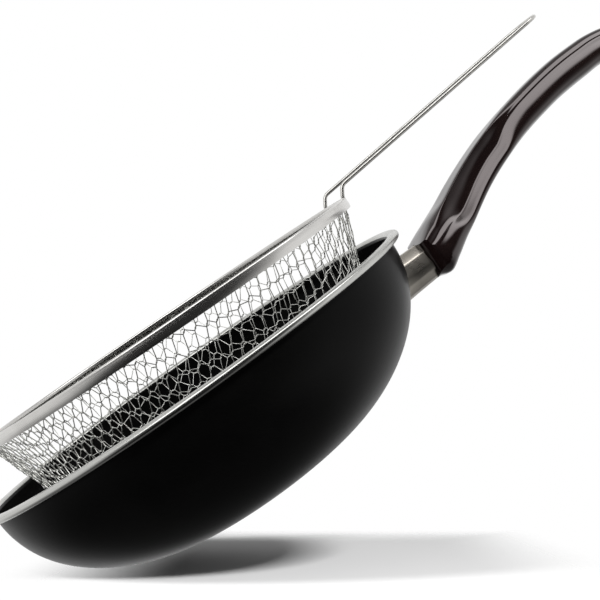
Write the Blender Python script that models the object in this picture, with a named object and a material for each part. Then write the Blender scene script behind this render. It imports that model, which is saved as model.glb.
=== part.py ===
"""Deep round frying pan with a lift-out wire frying basket.

Run with: blender --background --python part.py, or from Blender's text editor.
Metres, +Z up. The pan stands on its flat base at z = 0, its axis is the Z axis,
and its handle points along +X.
"""
import math

import bmesh
import bpy
import numpy as np
from mathutils import Matrix, Vector

# Pan bowl: pressed sheet, a flat base and a wall that rounds up to the rim
PAN_RIM_RADIUS = 0.140
BASE_RADIUS = 0.0573
BOWL_HEIGHT = 0.0730
SHEET = 0.0016
BOWL_OUT_POWER = 1.58
BOWL_UP_POWER = 2.18
LIP_STEP = 0.0004

# Rim ring: bright trim rolled over the lip of the bowl
RIM_OVERHANG = 0.0060
RIM_RING_HEIGHT = 0.0048
RIM_RING_WALL = 0.0021
RIM_RING_COVER = 0.0008

# Clearances
SEAT_GAP = 0.0003
CUT_OVERRUN = 0.002

# Handle bracket: a plate on the wall and a bar that enters the grip
HANDLE_LEVEL = 0.0460
PLATE_WIDTH = 0.036
PLATE_HEIGHT = 0.028
PLATE_THICKNESS = 0.0020
BAR_WIDTH = 0.0120
BAR_HEIGHT = 0.0060
BAR_IN_GRIP = 0.0230

# Ferrule: oval steel sleeve between the wall and the grip
FERRULE_LENGTH = 0.0248
FERRULE_WIDTH = 0.0205
FERRULE_HEIGHT = 0.0240
FERRULE_WALL = 0.0012
FERRULE_OVAL_POWER = 2.6

# Grip: moulded handle that rises in an S from the ferrule
GRIP_LENGTH = 0.226
GRIP_RISE = 0.0455
HEAD_WIDTH = 0.0300
HEAD_HEIGHT = 0.0275
GRIP_CENTRE_SHARES = (
    (0.000, 0.000), (0.045, 0.075), (0.105, 0.215), (0.165, 0.365), (0.235, 0.500),
    (0.330, 0.660), (0.440, 0.820), (0.560, 0.930), (0.690, 1.000), (0.800, 0.965),
    (0.905, 0.850), (0.970, 0.745), (1.000, 0.690),
)
GRIP_HEIGHT_SHARES = (0.98, 1.00, 0.95, 0.87, 0.81, 0.79, 0.77, 0.755, 0.74, 0.71, 0.65, 0.54, 0.33)
GRIP_WIDTH_SHARES = (1.00, 0.98, 0.88, 0.80, 0.78, 0.80, 0.84, 0.88, 0.92, 0.96, 0.98, 0.84, 0.48)
GRIP_SCOOP_SHARES = (0.00, 0.10, 0.55, 1.00, 1.00, 0.85, 0.55, 0.25, 0.10, 0.00, 0.00, 0.00, 0.00)
SECTION_SHARES = (
    (0.00, 1.00), (0.48, 0.97), (0.86, 0.80), (1.00, 0.45), (1.00, 0.05),
    (0.97, -0.38), (0.80, -0.74), (0.45, -0.95), (0.00, -1.00),
)
SCOOP_DEPTH_SHARES = (0.00, 0.00, 0.00, 0.24, 0.34, 0.12, 0.00, 0.00, 0.00)
HANG_HOLE_RADIUS = 0.0048
HANG_HOLE_FROM_END = 0.0170

# Fixing screw: goes up into the bar from under the head of the grip
SCREW_RADIUS = 0.0025
SCREW_HEAD_RADIUS = 0.0045
SCREW_HEAD_HEIGHT = 0.0026
SCREW_FROM_FACE = 0.0130
SCREW_RECESS = 0.0060
SCREW_SLOT = 0.0010
SCREW_CHAMFER = 0.0008

# Basket: a round net of six-sided openings, pressed to a bowl, hung in a folded rim band
BASKET_SHIFT = 0.0045
BASKET_INSET = 0.0175
BASKET_TOP = 0.1086
BAND_HEIGHT = 0.0060
BAND_WIDTH = 0.0040
BAND_INNER_LEG = 0.0022
BAND_SHEET = 0.0006
RIM_WIRE_RADIUS = 0.0011
NET_THICKNESS = 0.0010
NET_TAPER = math.radians(19.5)
NET_SHOULDER_SHARE = 0.40
NET_FLOOR_PLAY = 0.0045
NET_CELL_WIDTH = 0.0310
NET_ROW_STEP = 0.0124
NET_BOND = 0.0084
NET_TURN = math.radians(-18)
NET_EDGE_SHARE = 0.30

# Basket handle: one wire bent to a long narrow loop
HANDLE_WIRE_RADIUS = 0.0012
LEG_SPREAD = 0.0350
LEG_ON_BAND = 0.0050
LEG_RISE = 0.0031
LEG_LEAN = 0.0030
LEG_BEND_RADIUS = 0.0030
LOOP_WIDTH = 0.0160
LOOP_REACH = 0.1790
LOOP_RISE = 0.0206

# Fineness of the round shapes
TURN_STEPS = 60
SCREW_STEPS = 20
BOWL_STEPS = 10
RIM_STEPS = 10
PLATE_ROWS = 4
PLATE_COLUMNS = 8
FERRULE_STEPS = 28
WIRE_SIDES = 6
HANDLE_WIRE_SIDES = 8
GRIP_STEPS_PER_SPAN = 2
NET_PROFILE_STEPS = 60
BEND_STEPS = 5
HALVINGS = 40
SLOPE_STEP_SHARE = 0.001
SMOOTH_ANGLE = math.radians(35)

# Heights and radii that follow from the sizes above
BOWL_RADIUS = PAN_RIM_RADIUS - RIM_OVERHANG
LIP_REACH = RIM_OVERHANG - RIM_RING_WALL - SEAT_GAP
RIM_RING_INNER_RADIUS = BOWL_RADIUS - RIM_RING_COVER
LIP_UNDERSIDE = BOWL_HEIGHT + LIP_STEP
LIP_TOP = LIP_UNDERSIDE + SHEET
RIM_RING_MIDDLE = (LIP_UNDERSIDE + LIP_TOP) / 2
BASKET_FLOOR = SHEET + SEAT_GAP + NET_THICKNESS / 2
BASKET_RADIUS = PAN_RIM_RADIUS - BASKET_INSET
NET_FLOOR_RADIUS = BASE_RADIUS - BASKET_SHIFT - NET_FLOOR_PLAY
CHANNEL_RADIUS = BASKET_RADIUS - BAND_WIDTH / 2
NET_TOP = BASKET_TOP - BAND_SHEET - 2 * SEAT_GAP - 2 * RIM_WIRE_RADIUS - NET_THICKNESS / 2


def clear_scene():
    """Remove whatever the opened file holds."""
    for item in list(bpy.data.objects):
        bpy.data.objects.remove(item, do_unlink=True)


def finish_material(name, colour, roughness, metallic):
    """Return a Principled BSDF material."""
    material = bpy.data.materials.new(name)
    material.use_nodes = True
    shader = material.node_tree.nodes["Principled BSDF"]
    shader.inputs["Base Color"].default_value = (*colour, 1.0)
    shader.inputs["Roughness"].default_value = roughness
    shader.inputs["Metallic"].default_value = metallic
    return material


def add_object(name, shape, material, parent=None):
    """Turn a bmesh into a named object; a parented piece keeps its place."""
    mesh = bpy.data.meshes.new(name)
    shape.to_mesh(mesh)
    shape.free()
    mesh.shade_smooth()
    mesh.set_sharp_from_angle(angle=SMOOTH_ANGLE)
    mesh.materials.append(material)
    piece = bpy.data.objects.new(name, mesh)
    bpy.context.collection.objects.link(piece)
    if parent is not None:
        piece.parent = parent
    return piece


def turned(profile, steps=TURN_STEPS):
    """Turn a profile of (radius, height) points round the Z axis into a closed body.

    A profile that starts and ends on the axis is open; any other is closed to a ring.
    """
    shape = bmesh.new()
    points = [shape.verts.new((radius, 0.0, height)) for radius, height in profile]
    edges = [shape.edges.new(pair) for pair in zip(points, points[1:])]
    if profile[0][0] > 0.0:
        edges.append(shape.edges.new((points[-1], points[0])))
    bmesh.ops.spin(shape, geom=points + edges, cent=(0, 0, 0), axis=(0, 0, 1),
                   angle=math.tau, steps=steps, use_merge=True)
    bmesh.ops.remove_doubles(shape, verts=shape.verts, dist=SEAT_GAP / 100)
    bmesh.ops.recalc_face_normals(shape, faces=shape.faces)
    return shape


def swept(path, radius, sides):
    """Sweep a round section along a path of points and close both ends."""
    shape = bmesh.new()
    path = [Vector(point) for point in path]
    rings = []
    side = None
    for index, point in enumerate(path):
        before = path[max(index - 1, 0)]
        after = path[min(index + 1, len(path) - 1)]
        along = (after - before).normalized()
        if side is None:
            side = along.orthogonal().normalized()
        side = (side - along * side.dot(along)).normalized()
        other = along.cross(side)
        ring = []
        for step in range(sides):
            angle = math.tau * step / sides
            outward = math.cos(angle) * side + math.sin(angle) * other
            ring.append(shape.verts.new(point + radius * outward))
        rings.append(ring)
    for first, second in zip(rings, rings[1:]):
        for step in range(sides):
            following = (step + 1) % sides
            shape.faces.new((first[step], first[following], second[following], second[step]))
    shape.faces.new(rings[0])
    shape.faces.new(rings[-1])
    bmesh.ops.recalc_face_normals(shape, faces=shape.faces)
    return shape


def cut(piece, cutters):
    """Cut solids out of a piece with live Booleans; the cutters stay hidden."""
    for cutter in cutters:
        cutter.hide_render = True
        cutter.display_type = "WIRE"
        boolean = piece.modifiers.new(cutter.name, "BOOLEAN")
        boolean.operation = "DIFFERENCE"
        boolean.solver = "EXACT"
        boolean.object = cutter


def box_shape(low, high):
    """Return a box between two corners."""
    shape = bmesh.new()
    bmesh.ops.create_cube(shape, size=1.0)
    size = [top - bottom for bottom, top in zip(low, high)]
    centre = [(top + bottom) / 2 for bottom, top in zip(low, high)]
    bmesh.ops.scale(shape, vec=size, verts=shape.verts)
    bmesh.ops.translate(shape, vec=centre, verts=shape.verts)
    return shape


def bowl_point(share, inset=0.0):
    """Return the bowl's (radius, height) at a share of its curve, moved in by inset.

    The curve leaves the flat base level and reaches the rim upright.
    """
    def outside(turn):
        angle = turn * math.pi / 2
        rounding = math.sin(angle) ** (2 / BOWL_OUT_POWER)
        radius = BASE_RADIUS + (BOWL_RADIUS - BASE_RADIUS) * rounding
        height = BOWL_HEIGHT * (1 - max(math.cos(angle), 0.0) ** (2 / BOWL_UP_POWER))
        return Vector((radius, height))

    place = outside(share)
    along = (outside(min(share + SLOPE_STEP_SHARE, 1.0))
             - outside(max(share - SLOPE_STEP_SHARE, 0.0)))
    if share <= 0.0:
        along = Vector((1.0, 0.0))
    if share >= 1.0:
        along = Vector((0.0, 1.0))
    inward = Vector((-along.y, along.x)).normalized()
    moved = place + inset * inward
    return moved.x, moved.y


def bowl_share_at(height, inset=0.0):
    """Return the share of the bowl's curve, moved in by inset, that lies at a height."""
    low, high = 0.0, 1.0
    for _ in range(HALVINGS):
        middle = (low + high) / 2
        if bowl_point(middle, inset)[1] < height:
            low = middle
        else:
            high = middle
    return (low + high) / 2


def wall_radius(height, outset):
    """Return the radius at a height of the surface that lies outset outside the bowl."""
    return bowl_point(bowl_share_at(height, -outset), -outset)[0]


def grip_start():
    """Return where the grip begins: the far end of the ferrule, which seats on the plate."""
    return wall_radius(HANDLE_LEVEL, PLATE_THICKNESS + 2 * SEAT_GAP) + FERRULE_LENGTH


def build_pan_body(material):
    """Bowl with a flat base and an outward lip under the rim ring."""
    shares = [step / BOWL_STEPS for step in range(BOWL_STEPS + 1)]
    outside = [bowl_point(share) for share in shares]
    inside = [bowl_point(share, SHEET) for share in shares]
    lip = [(BOWL_RADIUS, LIP_UNDERSIDE), (BOWL_RADIUS + LIP_REACH, LIP_UNDERSIDE),
           (BOWL_RADIUS + LIP_REACH, LIP_TOP), (BOWL_RADIUS - SHEET, LIP_TOP)]
    profile = [(0.0, 0.0)] + outside + lip + inside[::-1] + [(0.0, SHEET)]
    return add_object("pan_body", turned(profile), material)


def build_rim_ring(material):
    """Oval bead with a slot that holds the lip of the bowl."""
    middle_radius = (PAN_RIM_RADIUS + RIM_RING_INNER_RADIUS) / 2
    half_width = (PAN_RIM_RADIUS - RIM_RING_INNER_RADIUS) / 2
    half_height = RIM_RING_HEIGHT / 2
    slot_top = LIP_TOP + SEAT_GAP
    slot_bottom = LIP_UNDERSIDE - SEAT_GAP
    slot_end = BOWL_RADIUS + LIP_REACH + SEAT_GAP
    inner_bottom = BOWL_RADIUS + SEAT_GAP
    start = math.pi - math.asin((slot_top - RIM_RING_MIDDLE) / half_height)
    finish = -math.pi / 2
    bead = []
    for step in range(RIM_STEPS + 1):
        angle = start + (finish - start) * step / RIM_STEPS
        bead.append((middle_radius + half_width * math.cos(angle),
                     RIM_RING_MIDDLE + half_height * math.sin(angle)))
    slot = [(inner_bottom, RIM_RING_MIDDLE - half_height), (inner_bottom, slot_bottom),
            (slot_end, slot_bottom), (slot_end, slot_top)]
    return add_object("rim_ring", turned(bead + slot), material)


def wall_patch(low, high, half_angle, inner_offset, outer_offset):
    """Return a plate that follows the bowl's wall between two heights."""
    rows, columns = PLATE_ROWS, PLATE_COLUMNS
    shape = bmesh.new()
    layers = []
    for offset in (inner_offset, outer_offset):
        layer = []
        for row in range(rows + 1):
            height = low + (high - low) * row / rows
            radius = wall_radius(height, offset)
            line = []
            for column in range(columns + 1):
                angle = half_angle * (2 * column / columns - 1)
                line.append(shape.verts.new(
                    (radius * math.cos(angle), radius * math.sin(angle), height)))
            layer.append(line)
        layers.append(layer)
    inner, outer = layers
    for layer in layers:
        for row in range(rows):
            for column in range(columns):
                shape.faces.new((layer[row][column], layer[row][column + 1],
                                 layer[row + 1][column + 1], layer[row + 1][column]))
    border = ([(0, column) for column in range(columns)]
              + [(row, columns) for row in range(rows)]
              + [(rows, column) for column in range(columns, 0, -1)]
              + [(row, 0) for row in range(rows, 0, -1)])
    for (row, column), (row_b, column_b) in zip(border, border[1:] + border[:1]):
        shape.faces.new((inner[row][column], inner[row_b][column_b],
                         outer[row_b][column_b], outer[row][column]))
    bmesh.ops.recalc_face_normals(shape, faces=shape.faces)
    return shape


def build_bracket(material, screw_hole):
    """Welded plate on the wall with the bar that carries the grip."""
    low = HANDLE_LEVEL - PLATE_HEIGHT / 2
    high = HANDLE_LEVEL + PLATE_HEIGHT / 2
    half_angle = math.asin(PLATE_WIDTH / 2 / BOWL_RADIUS)
    plate = wall_patch(low, high, half_angle, SEAT_GAP, SEAT_GAP + PLATE_THICKNESS)
    bracket = add_object("handle_bracket", plate, material)
    bar_start = wall_radius(HANDLE_LEVEL + BAR_HEIGHT / 2, SEAT_GAP + PLATE_THICKNESS / 2)
    bar = add_object("bracket_bar", box_shape(
        (bar_start, -BAR_WIDTH / 2, HANDLE_LEVEL - BAR_HEIGHT / 2),
        (grip_start() + BAR_IN_GRIP, BAR_WIDTH / 2, HANDLE_LEVEL + BAR_HEIGHT / 2)), material)
    bar.hide_render = True
    bar.display_type = "WIRE"
    join = bracket.modifiers.new("bar", "BOOLEAN")
    join.operation = "UNION"
    join.solver = "EXACT"
    join.object = bar
    cut(bracket, [screw_hole])
    return bracket


def ferrule_ring(shape, inset, place_x=None):
    """Add one oval ring of the ferrule, moved in by inset, and return its vertices.

    Without a place the ring lies on the bracket's plate, along the curve of the bowl.
    """
    half_width = FERRULE_WIDTH / 2 - inset
    half_height = FERRULE_HEIGHT / 2 - inset
    power = 2 / FERRULE_OVAL_POWER
    ring = []
    for step in range(FERRULE_STEPS):
        angle = math.tau * step / FERRULE_STEPS
        across = half_width * math.copysign(abs(math.cos(angle)) ** power, math.cos(angle))
        height = HANDLE_LEVEL + half_height * math.copysign(abs(math.sin(angle)) ** power, math.sin(angle))
        out = place_x
        if out is None:
            wall = wall_radius(height, PLATE_THICKNESS + 2 * SEAT_GAP)
            out = math.sqrt(wall ** 2 - across ** 2)
        ring.append(shape.verts.new((out, across, height)))
    return ring


def build_ferrule(material):
    """Oval sleeve whose wall-side end is cut to the curve of the bowl."""
    shape = bmesh.new()
    end = grip_start() - SEAT_GAP
    rings = [ferrule_ring(shape, 0.0), ferrule_ring(shape, 0.0, end),
             ferrule_ring(shape, FERRULE_WALL, end), ferrule_ring(shape, FERRULE_WALL)]
    for first, second in zip(rings, rings[1:] + rings[:1]):
        for step in range(FERRULE_STEPS):
            following = (step + 1) % FERRULE_STEPS
            shape.faces.new((first[step], first[following], second[following], second[step]))
    bmesh.ops.recalc_face_normals(shape, faces=shape.faces)
    return add_object("ferrule", shape, material)


def smooth_row(values, steps):
    """Return a smooth curve through the values, with steps points to each span."""
    values = np.array(values, dtype=float)
    padded = np.vstack([2 * values[0] - values[1], values, 2 * values[-1] - values[-2]])
    points = []
    for index in range(len(values) - 1):
        before, start, finish, after = padded[index:index + 4]
        for step in range(steps):
            share = step / steps
            points.append(0.5 * (2 * start + (finish - before) * share
                                 + (2 * before - 5 * start + 4 * finish - after) * share ** 2
                                 + (3 * start - before - 3 * finish + after) * share ** 3))
    points.append(values[-1])
    return np.array(points)


def grip_stations():
    """Return rows of (x, z, half height, half width, scoop) along the grip."""
    table = [(along, up, height, width, scoop) for (along, up), height, width, scoop in
             zip(GRIP_CENTRE_SHARES, GRIP_HEIGHT_SHARES, GRIP_WIDTH_SHARES, GRIP_SCOOP_SHARES)]
    rows = smooth_row(table, GRIP_STEPS_PER_SPAN)
    scale = np.array([GRIP_LENGTH, GRIP_RISE, HEAD_HEIGHT / 2, HEAD_WIDTH / 2, 1.0])
    start = np.array([grip_start(), HANDLE_LEVEL, 0.0, 0.0, 0.0])
    return rows * scale + start


def build_grip(material, cutters):
    """Moulded S-shaped grip with hollowed sides below its top edges."""
    stations = grip_stations()
    shape = bmesh.new()
    rings = []
    for index, (place_x, place_z, half_height, half_width, scoop) in enumerate(stations):
        before = stations[max(index - 1, 0)]
        after = stations[min(index + 1, len(stations) - 1)]
        slope = math.atan2(after[1] - before[1], after[0] - before[0]) if index else 0.0
        right = []
        for (across, upward), depth in zip(SECTION_SHARES, SCOOP_DEPTH_SHARES):
            side = half_width * across * (1 - depth * scoop)
            lift = half_height * upward
            right.append((place_x - lift * math.sin(slope), side, place_z + lift * math.cos(slope)))
        left = [(point_x, -side, point_z) for point_x, side, point_z in right[-2:0:-1]]
        rings.append([shape.verts.new(point) for point in right + left])
    for first, second in zip(rings, rings[1:]):
        count = len(first)
        for step in range(count):
            following = (step + 1) % count
            shape.faces.new((first[step], first[following], second[following], second[step]))
    shape.faces.new(rings[0])
    shape.faces.new(rings[-1])
    bmesh.ops.recalc_face_normals(shape, faces=shape.faces)
    grip = add_object("handle_grip", shape, material)
    cut(grip, cutters)
    return grip


def upright_cylinder(name, radius, low, high, centre_x, material):
    """Return an upright cylinder object between two heights."""
    shape = bmesh.new()
    bmesh.ops.create_cone(shape, cap_ends=True, segments=SCREW_STEPS, radius1=radius,
                          radius2=radius, depth=high - low)
    piece = add_object(name, shape, material)
    piece.location = (centre_x, 0.0, (low + high) / 2)
    return piece


def screw_place():
    """Return the screw's x and the height of its head's underside."""
    return grip_start() + SCREW_FROM_FACE, HANDLE_LEVEL - HEAD_HEIGHT / 2 + SCREW_RECESS


def build_screw(material):
    """Slotted fixing screw, head down, ending in the bar."""
    place_x, seat = screw_place()
    head_face = seat - SCREW_HEAD_HEIGHT
    tip = HANDLE_LEVEL + BAR_HEIGHT / 2 - SEAT_GAP
    profile = [(0.0, head_face), (SCREW_HEAD_RADIUS - SCREW_CHAMFER, head_face),
               (SCREW_HEAD_RADIUS, head_face + SCREW_CHAMFER), (SCREW_HEAD_RADIUS, seat),
               (SCREW_RADIUS, seat), (SCREW_RADIUS, tip - SCREW_CHAMFER),
               (SCREW_RADIUS - SCREW_CHAMFER, tip), (0.0, tip)]
    screw = add_object("fixing_screw", turned(profile, SCREW_STEPS), material)
    screw.location = (place_x, 0.0, 0.0)
    slot_reach = SCREW_HEAD_RADIUS + CUT_OVERRUN
    slot = add_object("screw_slot", box_shape(
        (-slot_reach, -SCREW_SLOT / 2, head_face - CUT_OVERRUN),
        (slot_reach, SCREW_SLOT / 2, head_face + SCREW_SLOT)), material)
    slot.location = screw.location
    cut(screw, [slot])
    return screw


def build_grip_cutters(material):
    """Socket for the bar, hole and recess for the screw, and the hanging hole."""
    place_x, seat = screw_place()
    socket = add_object("bar_socket", box_shape(
        (grip_start() - CUT_OVERRUN, -BAR_WIDTH / 2 - SEAT_GAP,
         HANDLE_LEVEL - BAR_HEIGHT / 2 - SEAT_GAP),
        (grip_start() + BAR_IN_GRIP + SEAT_GAP, BAR_WIDTH / 2 + SEAT_GAP,
         HANDLE_LEVEL + BAR_HEIGHT / 2 + SEAT_GAP)), material)
    below = HANDLE_LEVEL - HEAD_HEIGHT
    shank = upright_cylinder("screw_shank_hole", SCREW_RADIUS + SEAT_GAP, below, HANDLE_LEVEL,
                             place_x, material)
    recess = upright_cylinder("screw_recess", SCREW_HEAD_RADIUS + SEAT_GAP, below, seat + SEAT_GAP,
                              place_x, material)
    hang_x = grip_start() + GRIP_LENGTH - HANG_HOLE_FROM_END
    hang = upright_cylinder("hang_hole", HANG_HOLE_RADIUS, HANDLE_LEVEL,
                            HANDLE_LEVEL + 2 * GRIP_RISE, hang_x, material)
    return [socket, shank, recess, hang]


def net_profile():
    """Return the net's meridian as fine (radius, height) points, from the floor's centre to the top."""
    centre = Vector((0.0, BASKET_FLOOR))
    foot = Vector((NET_FLOOR_RADIUS, BASKET_FLOOR))
    top = Vector((CHANNEL_RADIUS, NET_TOP))
    drop = NET_TOP - BASKET_FLOOR
    shoulder_drop = drop * (1 - NET_SHOULDER_SHARE)
    shoulder = top - Vector((shoulder_drop * math.tan(NET_TAPER), shoulder_drop))
    corner = Vector((top.x - drop * math.tan(NET_TAPER), BASKET_FLOOR))
    points = [centre]
    for step in range(NET_PROFILE_STEPS + 1):
        share = step / NET_PROFILE_STEPS
        points.append(foot.lerp(corner, share).lerp(corner.lerp(shoulder, share), share))
    points.append(top)
    return points


def flat_net_cells(reach):
    """Yield the six corners of each opening of the flat net, as far as reach from the centre.

    A corner is one end of a bond: the bond's column, its row, and 1 or -1 for the end.
    """
    columns = int(2 * reach / NET_CELL_WIDTH) + 2
    rows = int(reach / NET_ROW_STEP) + 2
    for row in range(-rows, rows + 1):
        for column in range(-columns, columns + 1):
            middle = math.hypot(column * NET_CELL_WIDTH / 2, row * NET_ROW_STEP)
            if (column + row) % 2 == 0 and middle + NET_EDGE_SHARE * NET_ROW_STEP < reach:
                yield ((column + 1, row, -1), (column, row + 1, 1), (column, row + 1, -1),
                       (column - 1, row, 1), (column, row - 1, -1), (column, row - 1, 1))


def flat_net_place(corner):
    """Return where a corner of the net lies before the net is pressed."""
    column, row, end = corner
    along = (column * NET_CELL_WIDTH + end * NET_BOND) / 2
    return Matrix.Rotation(NET_TURN, 2) @ Vector((along, row * NET_ROW_STEP))


def build_net(material, parent):
    """One round net, drawn in to a circle at its edge and pressed to the basket's bowl."""
    profile = net_profile()
    travelled = [0.0]
    for first, second in zip(profile, profile[1:]):
        travelled.append(travelled[-1] + (second - first).length)
    radii = [point.x for point in profile]
    heights = [point.y for point in profile]
    reach = travelled[-1]
    shape = bmesh.new()
    joints = {}
    for cell in flat_net_cells(reach):
        for corner in cell:
            if corner not in joints:
                place = flat_net_place(corner)
                joints[corner] = shape.verts.new((place.x, place.y, 0.0))
        shape.faces.new([joints[corner] for corner in cell])
    edge = {vertex for side in shape.edges if len(side.link_faces) == 1 for vertex in side.verts}
    for vertex in shape.verts:
        flat = vertex.co.xy.copy()
        along = reach if vertex in edge else min(flat.length, reach)
        radius = float(np.interp(along, travelled, radii))
        place = flat.normalized() * radius
        vertex.co = (place.x, place.y, float(np.interp(along, travelled, heights)))
    bmesh.ops.recalc_face_normals(shape, faces=shape.faces)
    netting = add_object("basket_net", shape, material, parent)
    strands = netting.modifiers.new("strands", "WIREFRAME")
    strands.thickness = NET_THICKNESS
    strands.offset = 0.0
    strands.use_even_offset = False
    strands.use_boundary = True
    strands.use_replace = True
    return netting


def build_rim_band(material, parent):
    """Folded strip, open below, that hooks over the net's edge and the rim wire."""
    outer = BASKET_RADIUS
    inner = BASKET_RADIUS - BAND_WIDTH
    top = BASKET_TOP
    low = BASKET_TOP - BAND_HEIGHT
    inner_low = BASKET_TOP - BAND_INNER_LEG
    fold = BAND_SHEET
    profile = [(outer, low), (outer, top - fold), (outer - fold, top), (inner + fold, top),
               (inner, top - fold), (inner, inner_low), (inner + fold, inner_low),
               (inner + fold, top - fold),
               (outer - fold, top - fold), (outer - fold, low)]
    return add_object("basket_rim_band", turned(profile), material, parent)


def build_rim_wire(material, parent):
    """Round wire, bent to a ring, that lies in the fold of the rim band."""
    height = BASKET_TOP - BAND_SHEET - SEAT_GAP - RIM_WIRE_RADIUS
    profile = []
    for step in range(WIRE_SIDES):
        angle = -math.tau * (step + 1 / 2) / WIRE_SIDES
        profile.append((CHANNEL_RADIUS + RIM_WIRE_RADIUS * math.cos(angle),
                        height + RIM_WIRE_RADIUS * math.sin(angle)))
    return add_object("basket_rim_wire", turned(profile), material, parent)


def rounded(points, radius, steps):
    """Return the path with each inner corner replaced by an arc of the given radius."""
    points = [Vector(point) for point in points]
    path = [points[0]]
    for before, corner, after in zip(points, points[1:], points[2:]):
        to_before = (before - corner).normalized()
        to_after = (after - corner).normalized()
        half = to_before.angle(to_after) / 2
        setback = radius / math.tan(half)
        centre = corner + (to_before + to_after).normalized() * radius / math.sin(half)
        start = corner + to_before * setback - centre
        axis = start.cross(corner + to_after * setback - centre)
        sweep = math.pi - 2 * half
        for step in range(steps + 1):
            turn = Matrix.Rotation(sweep * step / steps, 3, axis)
            path.append(centre + turn @ start)
    path.append(points[-1])
    return path


def build_basket_handle(material, parent):
    """Wire loop: two legs up the outside of the band, then a long narrow loop over the grip."""
    half_spread = LEG_SPREAD / 2
    half_loop = LOOP_WIDTH / 2
    leg_radius = BASKET_RADIUS + SEAT_GAP + HANDLE_WIRE_RADIUS
    leg_x = math.sqrt(leg_radius ** 2 - half_spread ** 2)
    loop_x = leg_x + LOOP_REACH - half_loop
    legs = []
    for side in (1, -1):
        corners = [(leg_x, side * half_spread, BASKET_TOP - LEG_ON_BAND),
                   (leg_x, side * half_spread, BASKET_TOP),
                   (leg_x + LEG_LEAN, side * half_spread, BASKET_TOP + LEG_RISE),
                   (loop_x, side * half_loop, BASKET_TOP + LOOP_RISE)]
        legs.append(rounded(corners, LEG_BEND_RADIUS, BEND_STEPS)[:-1])
    forward = Vector((loop_x - leg_x - LEG_LEAN, 0.0, LOOP_RISE - LEG_RISE)).normalized()
    loop_centre = Vector((loop_x, 0.0, BASKET_TOP + LOOP_RISE))
    loop = []
    for step in range(2 * BEND_STEPS + 1):
        angle = math.pi / 2 - math.pi * step / (2 * BEND_STEPS)
        loop.append(loop_centre + forward * half_loop * math.cos(angle)
                    + Vector((0.0, half_loop * math.sin(angle), 0.0)))
    path = legs[0] + loop + legs[1][::-1]
    wire = swept(path, HANDLE_WIRE_RADIUS, HANDLE_WIRE_SIDES)
    return add_object("basket_handle", wire, material, parent)


def build():
    """Build the whole part."""
    clear_scene()
    enamel = finish_material("black_enamel", (0.012, 0.012, 0.012), 0.32, 0.0)
    bright_rim = finish_material("bright_rim", (0.62, 0.61, 0.59), 0.22, 1.0)
    bracket_steel = finish_material("bracket_steel", (0.42, 0.41, 0.40), 0.38, 1.0)
    ferrule_steel = finish_material("ferrule_steel", (0.58, 0.56, 0.52), 0.20, 1.0)
    moulding = finish_material("brown_moulding", (0.030, 0.018, 0.018), 0.20, 0.0)
    screw_steel = finish_material("screw_steel", (0.50, 0.49, 0.47), 0.30, 1.0)
    band_steel = finish_material("band_steel", (0.60, 0.60, 0.58), 0.25, 1.0)
    net_steel = finish_material("net_steel", (0.66, 0.66, 0.65), 0.28, 1.0)
    wire_steel = finish_material("wire_steel", (0.55, 0.54, 0.52), 0.24, 1.0)

    build_pan_body(enamel)
    build_rim_ring(bright_rim)
    cutters = build_grip_cutters(moulding)
    place_x = screw_place()[0]
    thread = upright_cylinder("bar_thread", SCREW_RADIUS + SEAT_GAP, HANDLE_LEVEL - BAR_HEIGHT,
                              HANDLE_LEVEL + BAR_HEIGHT, place_x, bracket_steel)
    build_bracket(bracket_steel, thread)
    build_ferrule(ferrule_steel)
    build_grip(moulding, cutters)
    build_screw(screw_steel)

    lift = bpy.data.objects.new("basket_lift_axis", None)
    lift.location = (BASKET_SHIFT, 0.0, 0.0)
    bpy.context.collection.objects.link(lift)
    build_rim_band(band_steel, lift)
    build_rim_wire(wire_steel, lift)
    build_net(net_steel, lift)
    build_basket_handle(wire_steel, lift)


build()
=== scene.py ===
"""Deep frying pan with a lift-out wire frying basket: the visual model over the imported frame.

Lengths are in metres. The pan's axis is Z, its base stands at z = 0 and its handle points
along +X. The photograph shows the pan rolled to its left, so the camera is rolled here and
the floor lies under the pan's left flank, almost square to the photograph's own upright.
"""

import logging
import math
import random
from dataclasses import dataclass
from enum import Enum
from itertools import product
from typing import Callable, Iterable, Mapping, Optional, Sequence, Union

import bpy
import numpy as np
from mathutils import Matrix, Vector


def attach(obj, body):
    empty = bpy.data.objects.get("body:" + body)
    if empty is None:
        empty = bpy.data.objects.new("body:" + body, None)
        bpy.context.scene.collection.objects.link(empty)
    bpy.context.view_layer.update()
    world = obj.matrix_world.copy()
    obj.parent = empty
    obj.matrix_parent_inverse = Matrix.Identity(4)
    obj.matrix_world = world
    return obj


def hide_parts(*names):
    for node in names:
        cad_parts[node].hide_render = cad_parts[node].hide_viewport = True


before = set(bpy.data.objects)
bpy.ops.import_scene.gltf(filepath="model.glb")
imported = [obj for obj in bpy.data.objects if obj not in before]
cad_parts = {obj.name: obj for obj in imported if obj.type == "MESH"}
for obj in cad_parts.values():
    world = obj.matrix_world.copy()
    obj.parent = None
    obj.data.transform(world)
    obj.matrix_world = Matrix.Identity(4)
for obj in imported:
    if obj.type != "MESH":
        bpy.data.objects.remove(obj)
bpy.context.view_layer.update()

log = logging.getLogger("frying_pan")

Triple = tuple[float, float, float]
Outline = Sequence[tuple[float, float]]
Bond = tuple[Vector, Vector, float]
Feed = Union[bpy.types.NodeSocket, float, Sequence[float]]
Feeds = Mapping[Union[str, int], Feed]

MERGE_REACH = 0.000002
START_SIZE = 0.001
GAP = 0.0003  # between pieces that almost touch, as in the CAD


# Work in object mode

def clear_selection() -> None:
    """Deselect every object, because the frame leaves its nodes selected."""
    bpy.ops.object.select_all(action="DESELECT")


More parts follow.
